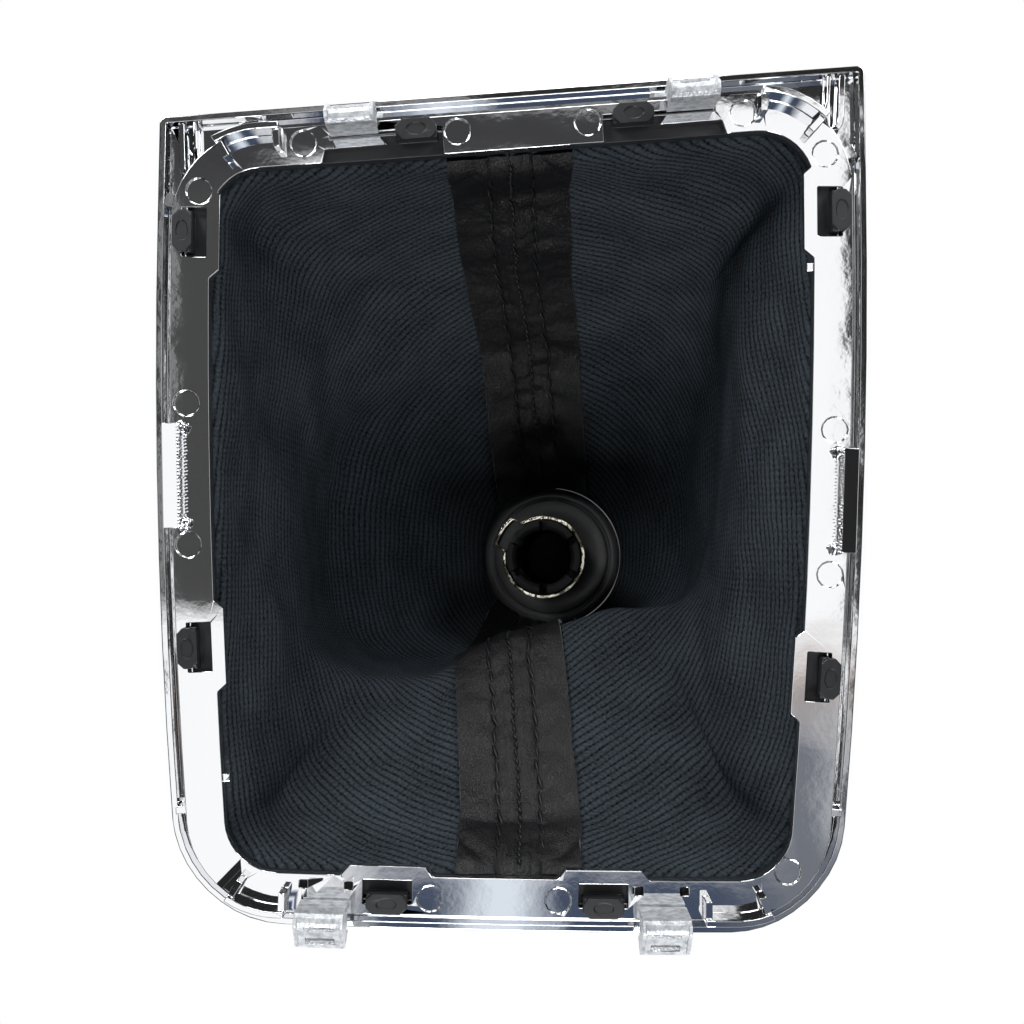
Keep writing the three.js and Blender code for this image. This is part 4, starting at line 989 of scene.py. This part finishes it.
# %% Fold lines
FOOT_INSET = 7.3
FOOT_HEIGHT = 18
RING_INSET = 6.3
HEM_WIDTH = 3.6
HEM_HEIGHT = 15.8
NECK_DROP = 2.5
NECK_STRAIGHT = 7
UP_STEPS = 110
FOLDS = [
    # crest inset and height, fold edge, shoulder
    ((1.5, 30), (-1.0, 50.9, 55), (-4.0, 37.1, 80)),
    ((3.0, 30), (-34.0, 50.0, 56), (-28.0, 33.0, 82)),
    ((7.5, 34), (-43.5, 36.0, 62), (-39.0, 22.0, 84)),
    ((7.5, 34), (-42.5, 0.0, 62), (-40.0, -4.0, 84)),
    ((8.0, 34), (-37.0, -17.0, 53), (-37.0, -20.0, 78)),
    ((7.0, 31), (-21.0, -20.6, 55), (-21.0, -25.0, 78)),
    ((5.0, 28), (0.5, -26.6, 56), (-2.0, -31.0, 80)),
    ((6.0, 30), (20.9, -34.8, 52), (18.0, -33.0, 75)),
    ((7.0, 34), (40.0, -29.0, 47), (36.0, -28.0, 75)),
    ((2.8, 32), (45.0, -5.0, 46), (41.0, -8.0, 78)),
    ((3.0, 33), (44.0, 29.0, 50), (37.0, 18.0, 82)),
    ((2.5, 31), (30.0, 47.0, 56), (17.0, 28.0, 84)),
]


def spline(p0, p1, p2, p3, t):
    """A smooth curve from p1 to p2, with the points before and after them."""
    return 0.5 * (2 * p1 + (p2 - p0) * t + (2 * p0 - 5 * p1 + 4 * p2 - p3) * t ** 2
                  + (3 * p1 - p0 - 3 * p2 + p3) * t ** 3)


def periodic(values, shares):
    """A smooth closed curve through evenly spaced values."""
    values = np.array(values, float)
    count = len(values)
    spot = np.mod(shares, 1) * count
    i = spot.astype(int)
    return spline(*(values[(i + k) % count] for k in (-1, 0, 1, 2)), (spot - i)[:, None])


def cut_corners(rows):
    """One round of corner cutting along the columns, with both ends kept."""
    out = [rows[0]]
    for before, after in zip(rows[:-1], rows[1:]):
        out += [0.75 * before + 0.25 * after, 0.25 * before + 0.75 * after]
    return out[:1] + out[2:-1] + [rows[-1]]


def boot_columns(shares):
    def level(line, height):
        return np.column_stack([line, np.full(len(shares), height)])

    crest, edge, shoulder = (periodic(line, shares) for line in zip(*FOLDS))
    foot = plan_row(-FOOT_INSET, shares)
    inward = plan_row(-FOOT_INSET - 1, shares) - foot
    crest_line = np.column_stack([foot + inward * crest[:, :1], crest[:, 1]])
    neck = neck_row(COLLAR_BASE - NECK_DROP, shares)
    anchors = [level(foot, FOOT_HEIGHT), crest_line, edge, shoulder, neck]
    rows = [anchors[0]]
    for before, after in zip(anchors[:-1], anchors[1:]):
        rows += [before + (after - before) * k / 3 for k in (1, 2, 3)]
    for _ in range(3):
        rows = cut_corners(rows)
    hem = [level(plan_row(outset, shares), HEM_HEIGHT)
           for outset in (HEM_WIDTH - RING_INSET, -RING_INSET)]
    top = [neck_row(height, shares)
           for height in (COLLAR_BASE - CLEARANCE, COLLAR_BASE + NECK_STRAIGHT)]
    return np.array(hem + rows + top)


def evenly_up(rows, steps):
    """The same columns, with their points at even shares of each column's length."""
    marks = [marks_along(column) for column in np.swapaxes(rows, 0, 1)]
    columns = [at_marks(m, rows[:, i], np.linspace(0, m[-1], steps + 1))
               for i, m in enumerate(marks)]
    return np.stack(columns, 1), np.array([m[-1] for m in marks])


SHARES = np.arange(COLUMNS) / COLUMNS
BOOT, SLANT_LENGTHS = evenly_up(boot_columns(SHARES), UP_STEPS)
print("boot:", BOOT.shape, "column lengths", SLANT_LENGTHS.min().round(1),
      SLANT_LENGTHS.max().round(1))

# %% [markdown]
# Leather is never as smooth as its pattern. It carries slow dents where it was pressed in the
# box and short puckers beside each seam, so every point of the surface is moved a few tenths of
# a millimetre along its own normal by two sizes of noise, and the seam itself is drawn in. The
# movement fades at the hem and at the neck, where the leather is clamped.

# %% Creases and seams on the boot
DENTS = ((1.1, 19, 3.1), (0.45, 8, 7.7))  # height, size, seed
PUCKERS = (0.5, 3.4, 1.9)
PUCKER_STRETCH = [1, 1, 1.6]
PUCKER_WIDTH = 7
SEAM_DEPTH = 0.8
SEAM_WIDTH = 1.1
HEM_FADE = 9  # rows
NECK_FADE = 14


def grid_normals(rows):
    along = np.roll(rows, -1, 1) - np.roll(rows, 1, 1)
    up = np.empty_like(rows)
    up[1:-1] = rows[2:] - rows[:-2]
    up[0], up[-1] = rows[1] - rows[0], rows[-1] - rows[-2]
    normals = np.cross(along, up)
    return normals / np.linalg.norm(normals, axis=2, keepdims=True)


def noise_field(rows, height, size, seed):
    flat = rows.reshape(-1, 3) / size + seed
    return height * np.array([noise.noise(Vector(p)) for p in flat]).reshape(rows.shape[:2])


def seam_distance(rows):
    """How far each point lies from the nearer seam, along its own row."""
    steps = np.linalg.norm(np.roll(rows, -1, 1) - rows, axis=2)
    marks = np.hstack([np.zeros((len(rows), 1)), np.cumsum(steps, axis=1)])
    length, marks = marks[:, -1:], marks[:, :-1]
    rear = marks[:, COLUMNS // 2][:, None]
    return np.minimum(np.minimum(marks, length - marks), np.abs(marks - rear))


def hump(offset, width):
    """A smooth hump that is 1 at no offset and fades over the width."""
    return np.exp(-(offset / width) ** 2)


NORMALS = grid_normals(BOOT)
SEAM_GAP = seam_distance(BOOT)
up_rows = np.arange(UP_STEPS + 1)
fade = np.minimum(1, np.minimum(up_rows / HEM_FADE, (UP_STEPS - up_rows) / NECK_FADE))[:, None]
dents = sum(noise_field(BOOT, *dent) for dent in DENTS)
puckers = noise_field(BOOT * PUCKER_STRETCH, *PUCKERS) * hump(SEAM_GAP, PUCKER_WIDTH)
groove = SEAM_DEPTH * hump(SEAM_GAP, SEAM_WIDTH)
BOOT = BOOT + NORMALS * ((dents + puckers) * fade - groove)[:, :, None]
NORMALS = grid_normals(BOOT)
print("creases up to", round(float(np.abs(dents).max()), 2), "mm")

# %% [markdown]
# Each panel is the stretch of the surface between the two seams. It is a single layer of faces
# first, which Solidify then thickens to 1.4 mm: the outside keeps the leather, and the inside
# and the cut edge take the knit. Its map is the flat cut itself, a sector of a ring, so the
# knit's cords run straight across the cut and bend with the folds.

# %% Boot panels
FAN_ANGLE = math.radians(66)  # of the flat-cut sector, as the knit's run shows
NECK_FAN = 46  # radius of the flat-cut sector's inner edge


def in_place(points):
    """Points in the boot's own millimetres, as metres in the frame."""
    return np.reshape(points, (-1, 3)) * MM + np.array(FLANGE_MIDDLE)


def grid_faces(rows, width, inside=False):
    faces = []
    for a in (j * width + i for j in range(rows - 1) for i in range(width - 1)):
        b, c, d = a + 1, a + width + 1, a + width
        faces.append((a, d, c, b) if inside else (a, b, c, d))
    return faces


def thicken(piece, thickness, offset, **settings):
    wall = piece.modifiers.new("thickness", "SOLIDIFY")
    wall.thickness = thickness * MM
    wall.offset = offset
    wall.material_offset_rim = 1
    for name, value in settings.items():
        setattr(wall, name, value)


def boot_panel(name, first, node):
    half = COLUMNS // 2
    columns = [(first + k) % COLUMNS for k in range(half + 1)]
    piece = mesh_piece(name, in_place(BOOT[:, columns]), grid_faces(UP_STEPS + 1, half + 1))
    layer = piece.data.uv_layers.new(name="flat_cut")
    spots = []
    for j in range(UP_STEPS + 1):
        for i, column in enumerate(columns):
            radius = NECK_FAN + SLANT_LENGTHS[column] * (1 - j / UP_STEPS)
            turn = (i / half - 0.5) * FAN_ANGLE
            spots.append((radius * math.sin(turn) * MM, radius * math.cos(turn) * MM))
    for loop in piece.data.loops:
        layer.data[loop.index].uv = spots[loop.vertex_index]
    thicken(piece, LEATHER, 0, use_even_offset=True, material_offset=1)
    print(name, "layer area", round(sum(f.area for f in piece.data.polygons), 5))
    finish_piece(piece, [BOOT_LEATHER, KNIT], "backed_leather", node)
    apply_all(piece)
    smooth_below(50)


boot_panel("boot_left_panel", 0, "gaiter_left_panel")
boot_panel("boot_right_panel", COLUMNS // 2, "gaiter_right_panel")

# %% [markdown]
# Over the inside of each seam a strip of thin leather is glued and stitched, to carry the seam
# allowances. Three lines run along it: the seam in the middle, which shows as a dark groove,
# and one row of stitches on each side, which pulls the strip down and leaves ripples beside
# it. Near the foot the strip is pressed down along a shallow curve, where the layers below it
# end, and a fainter band crosses it higher up. The strip was cut by hand, so its edges wander,
# and the raw edge shows pale.

# %% Seam tapes
TAPE_WIDTH = 22.8
TAPE_THICK = 0.8
TAPE_ACROSS = 57
TAPE_WANDER = 0.35
HALF_TAPE = TAPE_WIDTH / 2
STITCH_OFFSET = 4.2
RIPPLE_OFFSET = 6.5
GROOVE = (1.0, 0.75)  # depth and half width of what shapes the strip
PULL = (0.4, 0.6)
PULL_SWING = 0.8
PULL_TURN = 1.9  # radians from row to row
RIPPLE = (0.125, 3.0)
RIPPLE_TURN = 0.9
SMILE = (0.7, 1.8)  # the half width of these two is in rows
BAND = (0.2, 2.2)
SMILE_ROW = 2
SMILE_RISE = 9
BAND_ROW = 17
BAND_SLANT = 3
FOOT_ROW = 3
NECK_ROW = UP_STEPS - 8


def strand(row, column, distances, lift):
    """Points beside a column, along its row and off the leather's middle surface."""
    line = BOOT[row]
    places = marks_along(closed(line))[column] + distances
    lifts = walked(line, NORMALS[row], places)
    lifts /= np.linalg.norm(lifts, axis=1, keepdims=True)
    return walked(line, line, places) + lifts * np.reshape(lift, (-1, 1))


def tape_lift(across, row):
    """Where the strip lies, counted outwards from the leather's middle surface."""
    side = across / HALF_TAPE
    groove = GROOVE[0] * hump(across, GROOVE[1])
    smile = SMILE[0] * hump(row - SMILE_ROW - SMILE_RISE * side ** 2, SMILE[1])
    band = BAND[0] * hump(row - BAND_ROW + BAND_SLANT * side, BAND[1])
    pull = PULL[0] * hump(np.abs(across) - STITCH_OFFSET, PULL[1])
    pull = pull * (1 + PULL_SWING * math.sin(row * PULL_TURN))
    ripple = RIPPLE[0] * math.sin(row * RIPPLE_TURN) * hump(np.abs(across) - RIPPLE_OFFSET,
                                                            RIPPLE[1])
    return groove + pull + ripple + smile + band - (LEATHER / 2 + 0.5)


def seam_tape(name, node, column):
    rows = range(FOOT_ROW, NECK_ROW)
    layers = []
    for row in rows:
        wander = TAPE_WANDER * noise.noise(Vector((row * 0.11, column, 0.5)))
        across = np.linspace(-0.5, 0.5, TAPE_ACROSS) * (TAPE_WIDTH + wander)
        layers.append(strand(row, column, across, tape_lift(across, row)))
    piece = mesh_piece(name, in_place(np.array(layers)),
                       grid_faces(len(rows), TAPE_ACROSS, inside=True))
    thicken(piece, TAPE_THICK, 1)
    finish_piece(piece, [TAPE_LEATHER, CUT_EDGE], "leather_tape", node)
    apply_all(piece)
    for face in piece.data.polygons:
        if face.material_index == 1 and abs(face.normal.x) < 0.5:
            face.material_index = 0
    smooth_below(45)


seam_tape("front_seam_strip", "front_seam_tape", 0)
seam_tape("rear_seam_strip", "rear_seam_tape", COLUMNS // 2)

# %% [markdown]
# ## Stitches
# A lockstitch seam shows a row of short, slanted thread lengths, each of which rises out of one
# needle hole and dives into the next. One closed stitch is modelled, two twisted plies thick
# and with pinched ends, and is then copied along each row, on the direction that the row has
# there. On the inside the two outer rows hold the seam allowances under the tape, and on the
# outside the same two rows are the top-stitching that is seen from the car. A third row on the
# inside is the seam's own, which lies in the groove with stitches of half the length.

# %% Stitch rows
STITCH_PITCH = 3.6
STITCH_RADIUS = 0.28
STITCH_RINGS = 9
STITCH_SIDES = 8
STITCH_OVERLAP = 1.04
STITCH_SINK = 0.3
STITCH_SLANT = math.radians(9)
LOOK_AHEAD = 0.8
LOOK_BESIDE = 0.5
FIRST_STITCH_ROW = 8
LAST_STITCH_ROW = NECK_ROW - 2
UNDER_TAPE = -(LEATHER / 2 + 1.32)
OVER_LEATHER = LEATHER / 2 + 0.1
IN_GROOVE = -(LEATHER / 2 + 0.62)


def stitch_form(length, radius, sink):
    """Points and faces of one stitch along X, with Z away from the leather."""
    points, faces = [], []
    for k in range(STITCH_RINGS):
        share = k / (STITCH_RINGS - 1)
        x = (share - 0.5) * length
        bow = math.sin(math.pi * share)
        swell = radius * (0.35 + 0.65 * bow ** 0.5)
        for side in range(STITCH_SIDES):
            angle = 2 * math.pi * side / STITCH_SIDES
            ply = 1 + 0.18 * math.cos(2 * angle - 5 * math.pi * share)
            points.append((x, swell * ply * math.cos(angle),
                           sink * (bow - 1) + swell * ply * math.sin(angle)))
    for k in range(STITCH_RINGS - 1):
        for side in range(STITCH_SIDES):
            a, b = k * STITCH_SIDES + side, k * STITCH_SIDES + (side + 1) % STITCH_SIDES
            faces.append((a, b, b + STITCH_SIDES, a + STITCH_SIDES))
    faces.append(tuple(reversed(range(STITCH_SIDES))))
    faces.append(tuple(range((STITCH_RINGS - 1) * STITCH_SIDES, STITCH_RINGS * STITCH_SIDES)))
    return np.array(points), faces


def stitch_row(name, column, across, lift, node, slot, first=FIRST_STITCH_ROW,
               pitch=STITCH_PITCH):
    """A row of stitches up a seam, at a distance to one side of it and off the leather."""
    spots, beside = (np.array([strand(row, column, np.array([offset]), lift)[0]
                               for row in range(first, LAST_STITCH_ROW)])
                     for offset in (across, across + LOOK_BESIDE))
    marks = marks_along(spots)
    form, faces = stitch_form(pitch * STITCH_OVERLAP, STITCH_RADIUS, STITCH_SINK)
    points, polygons = [], []
    for k in range(int(marks[-1] / pitch)):
        middle = (k + 0.5) * pitch
        at = at_marks(marks, spots, middle)
        along = unit(at_marks(marks, spots, middle + LOOK_AHEAD) - at)
        side = at_marks(marks, beside, middle) - at
        away = unit(np.cross(side, along)) * (1 if lift > 0 else -1)
        over = np.cross(away, along)
        lean = along * math.cos(STITCH_SLANT) + over * math.sin(STITCH_SLANT)
        base = len(points) * len(form)
        points.append(at + form @ np.array([lean, np.cross(away, lean), away]))
        polygons += [tuple(base + i for i in face) for face in faces]
    piece = mesh_piece(name, in_place(np.vstack(points)), polygons)
    edited(piece, face_outwards)
    smooth_below(60)
    finish_piece(piece, [THREAD], slot, node)


for seam, column in (("front", 0), ("rear", COLUMNS // 2)):
    tape = (f"{seam}_seam_tape", "leather_tape")
    for hand, offset in (("left", -STITCH_OFFSET), ("right", STITCH_OFFSET)):
        stitch_row(f"{seam}_seam_{hand}_thread", column, offset, UNDER_TAPE, *tape)
        stitch_row(f"{seam}_top_{hand}_thread", column, offset, OVER_LEATHER,
                   "gaiter_left_panel", "backed_leather")
    stitch_row(f"{seam}_seam_middle_thread", column, 0, IN_GROOVE, *tape, FOOT_ROW + 1,
               STITCH_PITCH / 2)

# %% [markdown]
# ## The knob
# Everything on the knob is round, so each piece is a closed half-profile that is spun about the
# knob's own axis and then leaned with it. The profiles are listed as radius and height in
# millimetres above the middle of the clamp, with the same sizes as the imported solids.

# %% Spinning a profile
def spun(name, profile, steps=ROUND_STEPS):
    points = [(r * MM, 0, z * MM) for r, z in profile]
    edges = [(i, (i + 1) % len(points)) for i in range(len(points))]
    piece = mesh_piece(name, points, (), edges)
    edited(piece, lambda: bpy.ops.mesh.spin(steps=steps, angle=2 * math.pi, center=(0, 0, 0),
                                            axis=(0, 0, 1)), merge_close, face_outwards)
    return piece


def placed(piece):
    piece.data.transform(KNOB_PLACE)
    piece.data.update()
    return piece


def bevelled(piece, width, sharp=30, segments=3):
    bevel = piece.modifiers.new("edges", "BEVEL")
    bevel.width = width * MM
    bevel.segments = segments
    bevel.limit_method = "ANGLE"
    bevel.angle_limit = math.radians(sharp)
    bevel.use_clamp_overlap = True
    apply_all(piece)
    smooth_below(35)
    return piece


# %% [markdown]
# The sleeve is one moulding from the collet's tips to the top of the grip's core. Three thin
# boxes cut right across its foot, which leaves the six fingers that the clamp presses on the
# lever.

# %% Sleeve with its collet
BORE_RADIUS = 6
BORE_MOUTH = 0.7
SLEEVE_RADIUS = 7.9
SLEEVE_GAP = SLEEVE_RADIUS + CLEARANCE
CORE_RADIUS = 11
CORE_GAP = CORE_RADIUS + CLEARANCE
COLLET_TIP = -5
COLLET_SLOTS = 6
COLLET_SLOT_WIDTH = 1.7
COLLET_SLOT_TOP = 9
COLLET_SLOT_LENGTH = 18
BORE_END = 43
COLLAR_TOP = COLLAR_BASE + 8
TRIM_BASE = COLLAR_TOP + CLEARANCE
TRIM_HEIGHT = 5
GRIP_BASE = TRIM_BASE + TRIM_HEIGHT + CLEARANCE
GRIP_HEIGHT = 66
GRIP_TOP = GRIP_BASE + GRIP_HEIGHT
CAP_SEAT = GRIP_TOP - 2.6
CORE_TOP = CAP_SEAT - CLEARANCE

core = spun("lever_sleeve_with_collet", [
    (0, BORE_END), (BORE_RADIUS, BORE_END), (BORE_RADIUS, COLLET_TIP + BORE_MOUTH),
    (BORE_RADIUS + BORE_MOUTH, COLLET_TIP), (SLEEVE_RADIUS, COLLET_TIP),
    (SLEEVE_RADIUS, TRIM_BASE), (CORE_RADIUS, TRIM_BASE), (CORE_RADIUS, CORE_TOP),
    (0, CORE_TOP)])
for k in range(COLLET_SLOTS // 2):
    bpy.ops.object.select_all(action="DESELECT")
    bpy.ops.mesh.primitive_cube_add(size=1)
    cutter = bpy.context.object
    cutter.scale = Vector((3 * SLEEVE_RADIUS, COLLET_SLOT_WIDTH, COLLET_SLOT_LENGTH)) * MM
    cutter.location = (0, 0, (COLLET_SLOT_TOP - COLLET_SLOT_LENGTH / 2) * MM)
    cutter.rotation_euler = (0, 0, math.pi * (k + 0.5) / (COLLET_SLOTS // 2))
    slot_cut = core.modifiers.new("slot", "BOOLEAN")
    slot_cut.operation = "DIFFERENCE"
    slot_cut.object = cutter
    apply_all(core)
    bpy.data.objects.remove(cutter)
bevelled(core, 0.25, sharp=40, segments=2)
finish_piece(placed(core), [SLEEVE_NYLON], "black_plastic", "knob_core")

# %% [markdown]
# The clamp is a strip of nickel plated steel closed into a ring, with one flat-topped ear that
# the fitter pinches. Its section is carried round a circle that rises smoothly at the ear.

# %% Ear clamp
CLAMP_HALF = 3.2
CLAMP_SHEET = 0.7
CLAMP_STEPS = 144
EAR_RISE = 2.1
EAR_ANGLE = math.radians(33)
EAR_SPAN = math.radians(46)
EAR_TOP_SHARE = 0.4
EAR_FLANK_SHARE = 0.12


def ear_rise(angle):
    away = abs(math.atan2(math.sin(angle - EAR_ANGLE), math.cos(angle - EAR_ANGLE)))
    share = min(1, max(0, (away - EAR_SPAN * EAR_TOP_SHARE) / (EAR_SPAN * EAR_FLANK_SHARE)))
    return EAR_RISE * (1 - share * share * (3 - 2 * share))


def clamp_band():
    points, faces = [], []
    section = [(0, -CLAMP_HALF), (CLAMP_SHEET, -CLAMP_HALF), (CLAMP_SHEET, CLAMP_HALF),
               (0, CLAMP_HALF)]
    for k in range(CLAMP_STEPS):
        angle = 2 * math.pi * k / CLAMP_STEPS
        for out, z in section:
            r = SLEEVE_GAP + ear_rise(angle) + out
            points.append((r * math.cos(angle) * MM, r * math.sin(angle) * MM, z * MM))
    for k in range(CLAMP_STEPS):
        for side in range(4):
            a, b = 4 * k + side, 4 * k + (side + 1) % 4
            c, d = (b + 4) % len(points), (a + 4) % len(points)
            faces.append((a, d, c, b))
    band = mesh_piece("single_ear_clamp", points, faces)
    edited(band, face_outwards)
    return band


finish_piece(placed(bevelled(clamp_band(), 0.14)), [NICKEL], "nickel_plate", "ear_clamp")

# %% [markdown]
# The collar is a thick black washer with a turned line near its rim, a groove round it for the
# boot's neck, and a face that is dished towards the lever. A moulded ring outside the boot
# holds the neck in the groove, and a plated ring covers the joint below the grip.

# %% Collar, tie ring and trim ring
LINE_RADIUS = COLLAR_RADIUS - 2.6
GROOVE_RADIUS = COLLAR_RADIUS - 1.3
TIE_INNER = NECK_RADIUS + LEATHER / 2 + CLEARANCE
TIE_OUTER = TIE_INNER + 1.3
TIE_MIDDLE = COLLAR_BASE + NECK_STRAIGHT / 2 + 0.5
TRIM_RADIUS = 15.8
COLLAR_PROFILE = [
    (SLEEVE_GAP, COLLAR_BASE + 0.9), (11, COLLAR_BASE), (LINE_RADIUS - 0.5, COLLAR_BASE + 0.3),
    (LINE_RADIUS, COLLAR_BASE + 0.8), (LINE_RADIUS + 0.5, COLLAR_BASE + 0.4),
    (COLLAR_RADIUS - 0.8, COLLAR_BASE + 0.6), (COLLAR_RADIUS, COLLAR_BASE + 1.2),
    (COLLAR_RADIUS, COLLAR_BASE + 2.4), (GROOVE_RADIUS, COLLAR_BASE + 2.9),
    (GROOVE_RADIUS, COLLAR_TOP - 1), (COLLAR_RADIUS, COLLAR_TOP - 0.5),
    (COLLAR_RADIUS, COLLAR_TOP), (SLEEVE_GAP, COLLAR_TOP)]
TIE_PROFILE = [(TIE_INNER, TIE_MIDDLE - 1.7), (TIE_OUTER, TIE_MIDDLE - 1.2),
               (TIE_OUTER, TIE_MIDDLE + 1.2), (TIE_INNER, TIE_MIDDLE + 1.7)]
TRIM_PROFILE = [
    (CORE_GAP, TRIM_BASE), (TRIM_RADIUS - 0.5, TRIM_BASE), (TRIM_RADIUS, TRIM_BASE + 1.25),
    (TRIM_RADIUS - 0.25, TRIM_BASE + 3), (TRIM_RADIUS - 1.5, TRIM_BASE + TRIM_HEIGHT),
    (CORE_GAP, TRIM_BASE + TRIM_HEIGHT)]

collar = bevelled(spun("boot_neck_collar", COLLAR_PROFILE), 0.3)
finish_piece(placed(collar), [COLLAR_NYLON], "black_plastic", "gaiter_neck_collar")
tie = bevelled(spun("boot_neck_tie_ring", TIE_PROFILE), 0.25)
finish_piece(placed(tie), [HOOK_ABS], "black_plastic", "neck_retaining_ring")
trim = bevelled(spun("plated_trim_ring", TRIM_PROFILE), 0.3)
finish_piece(placed(trim), [CHROME], "chrome", "knob_trim_ring")

# %% [markdown]
# The grip is a padded body under a stretched leather cover, with one sewn seam down its rear,
# where the leather is drawn in to a groove. Its profile is a smooth curve through the waist and
# the head. The cap closes its top with a low crown.

# %% Leather grip and cap
GRIP_PROFILE = [(15.2, 0), (14, 0.12), (14.6, 0.26), (18.5, 0.45), (22.2, 0.62), (23, 0.76),
                (21.4, 0.9), (16.8, 1)]
GRIP_ROWS = 60
GRIP_STEPS = 192
GRIP_FOOT = 8
COVER_RADIUS = 13.5  # what lies within it is the core's side, which has no cover
GRIP_SEAM = (0.7, 0.8)  # depth and half width
CAP_RADIUS = 15.5
MOUTH_RADIUS = CAP_RADIUS + CLEARANCE
CAP_CROWN = [(0.85, 1.1), (0.7, 1.8), (0.55, 2.3), (0.4, 2.65), (0.2, 2.9), (0, 3)]


def smooth_profile(stations, count):
    """A smooth open curve through (radius, share) stations."""
    values = np.array(stations)
    values = np.vstack([2 * values[0] - values[1], values, 2 * values[-1] - values[-2]])
    marks = np.linspace(0, len(stations) - 1 - 1e-9, count)
    return np.array([spline(*values[int(m):int(m) + 4], m - int(m)) for m in marks])


side = [(r, GRIP_BASE + GRIP_HEIGHT * share)
        for r, share in smooth_profile(GRIP_PROFILE, GRIP_ROWS)]
grip = spun("leather_wrapped_grip", [
    (CORE_GAP, GRIP_BASE), *side, (MOUTH_RADIUS, GRIP_TOP), (MOUTH_RADIUS, CAP_SEAT),
    (CORE_GAP, CAP_SEAT)], steps=GRIP_STEPS)
for vertex in grip.data.vertices:
    x, y, z = vertex.co / MM
    radius = math.hypot(x, y)
    covered = radius > MOUTH_RADIUS - 0.1 or z < GRIP_BASE + GRIP_FOOT
    if covered and radius > COVER_RADIUS:
        gap = abs(math.atan2(x, -y)) * radius
        draw_in = GRIP_SEAM[0] * math.exp(-(gap / GRIP_SEAM[1]) ** 2)
        swell = 0.25 * noise.noise(Vector((x, y, z)) / 14)
        vertex.co.x += (swell - draw_in) * MM * x / radius
        vertex.co.y += (swell - draw_in) * MM * y / radius
smooth_below(40)
finish_piece(placed(grip), [GRIP_LEATHER], "grip_leather", "knob_grip")

cap = spun("polished_knob_cap", [
    (0, CAP_SEAT + CLEARANCE), (CAP_RADIUS, CAP_SEAT + CLEARANCE), (CAP_RADIUS, GRIP_TOP),
    (CAP_RADIUS - 1, GRIP_TOP + 0.5),
    *((CAP_RADIUS * share, GRIP_TOP + rise) for share, rise in CAP_CROWN)])
bevelled(cap, 0.2, sharp=50)
finish_piece(placed(cap), [GLOSS_ABS], "black_gloss", "knob_cap")
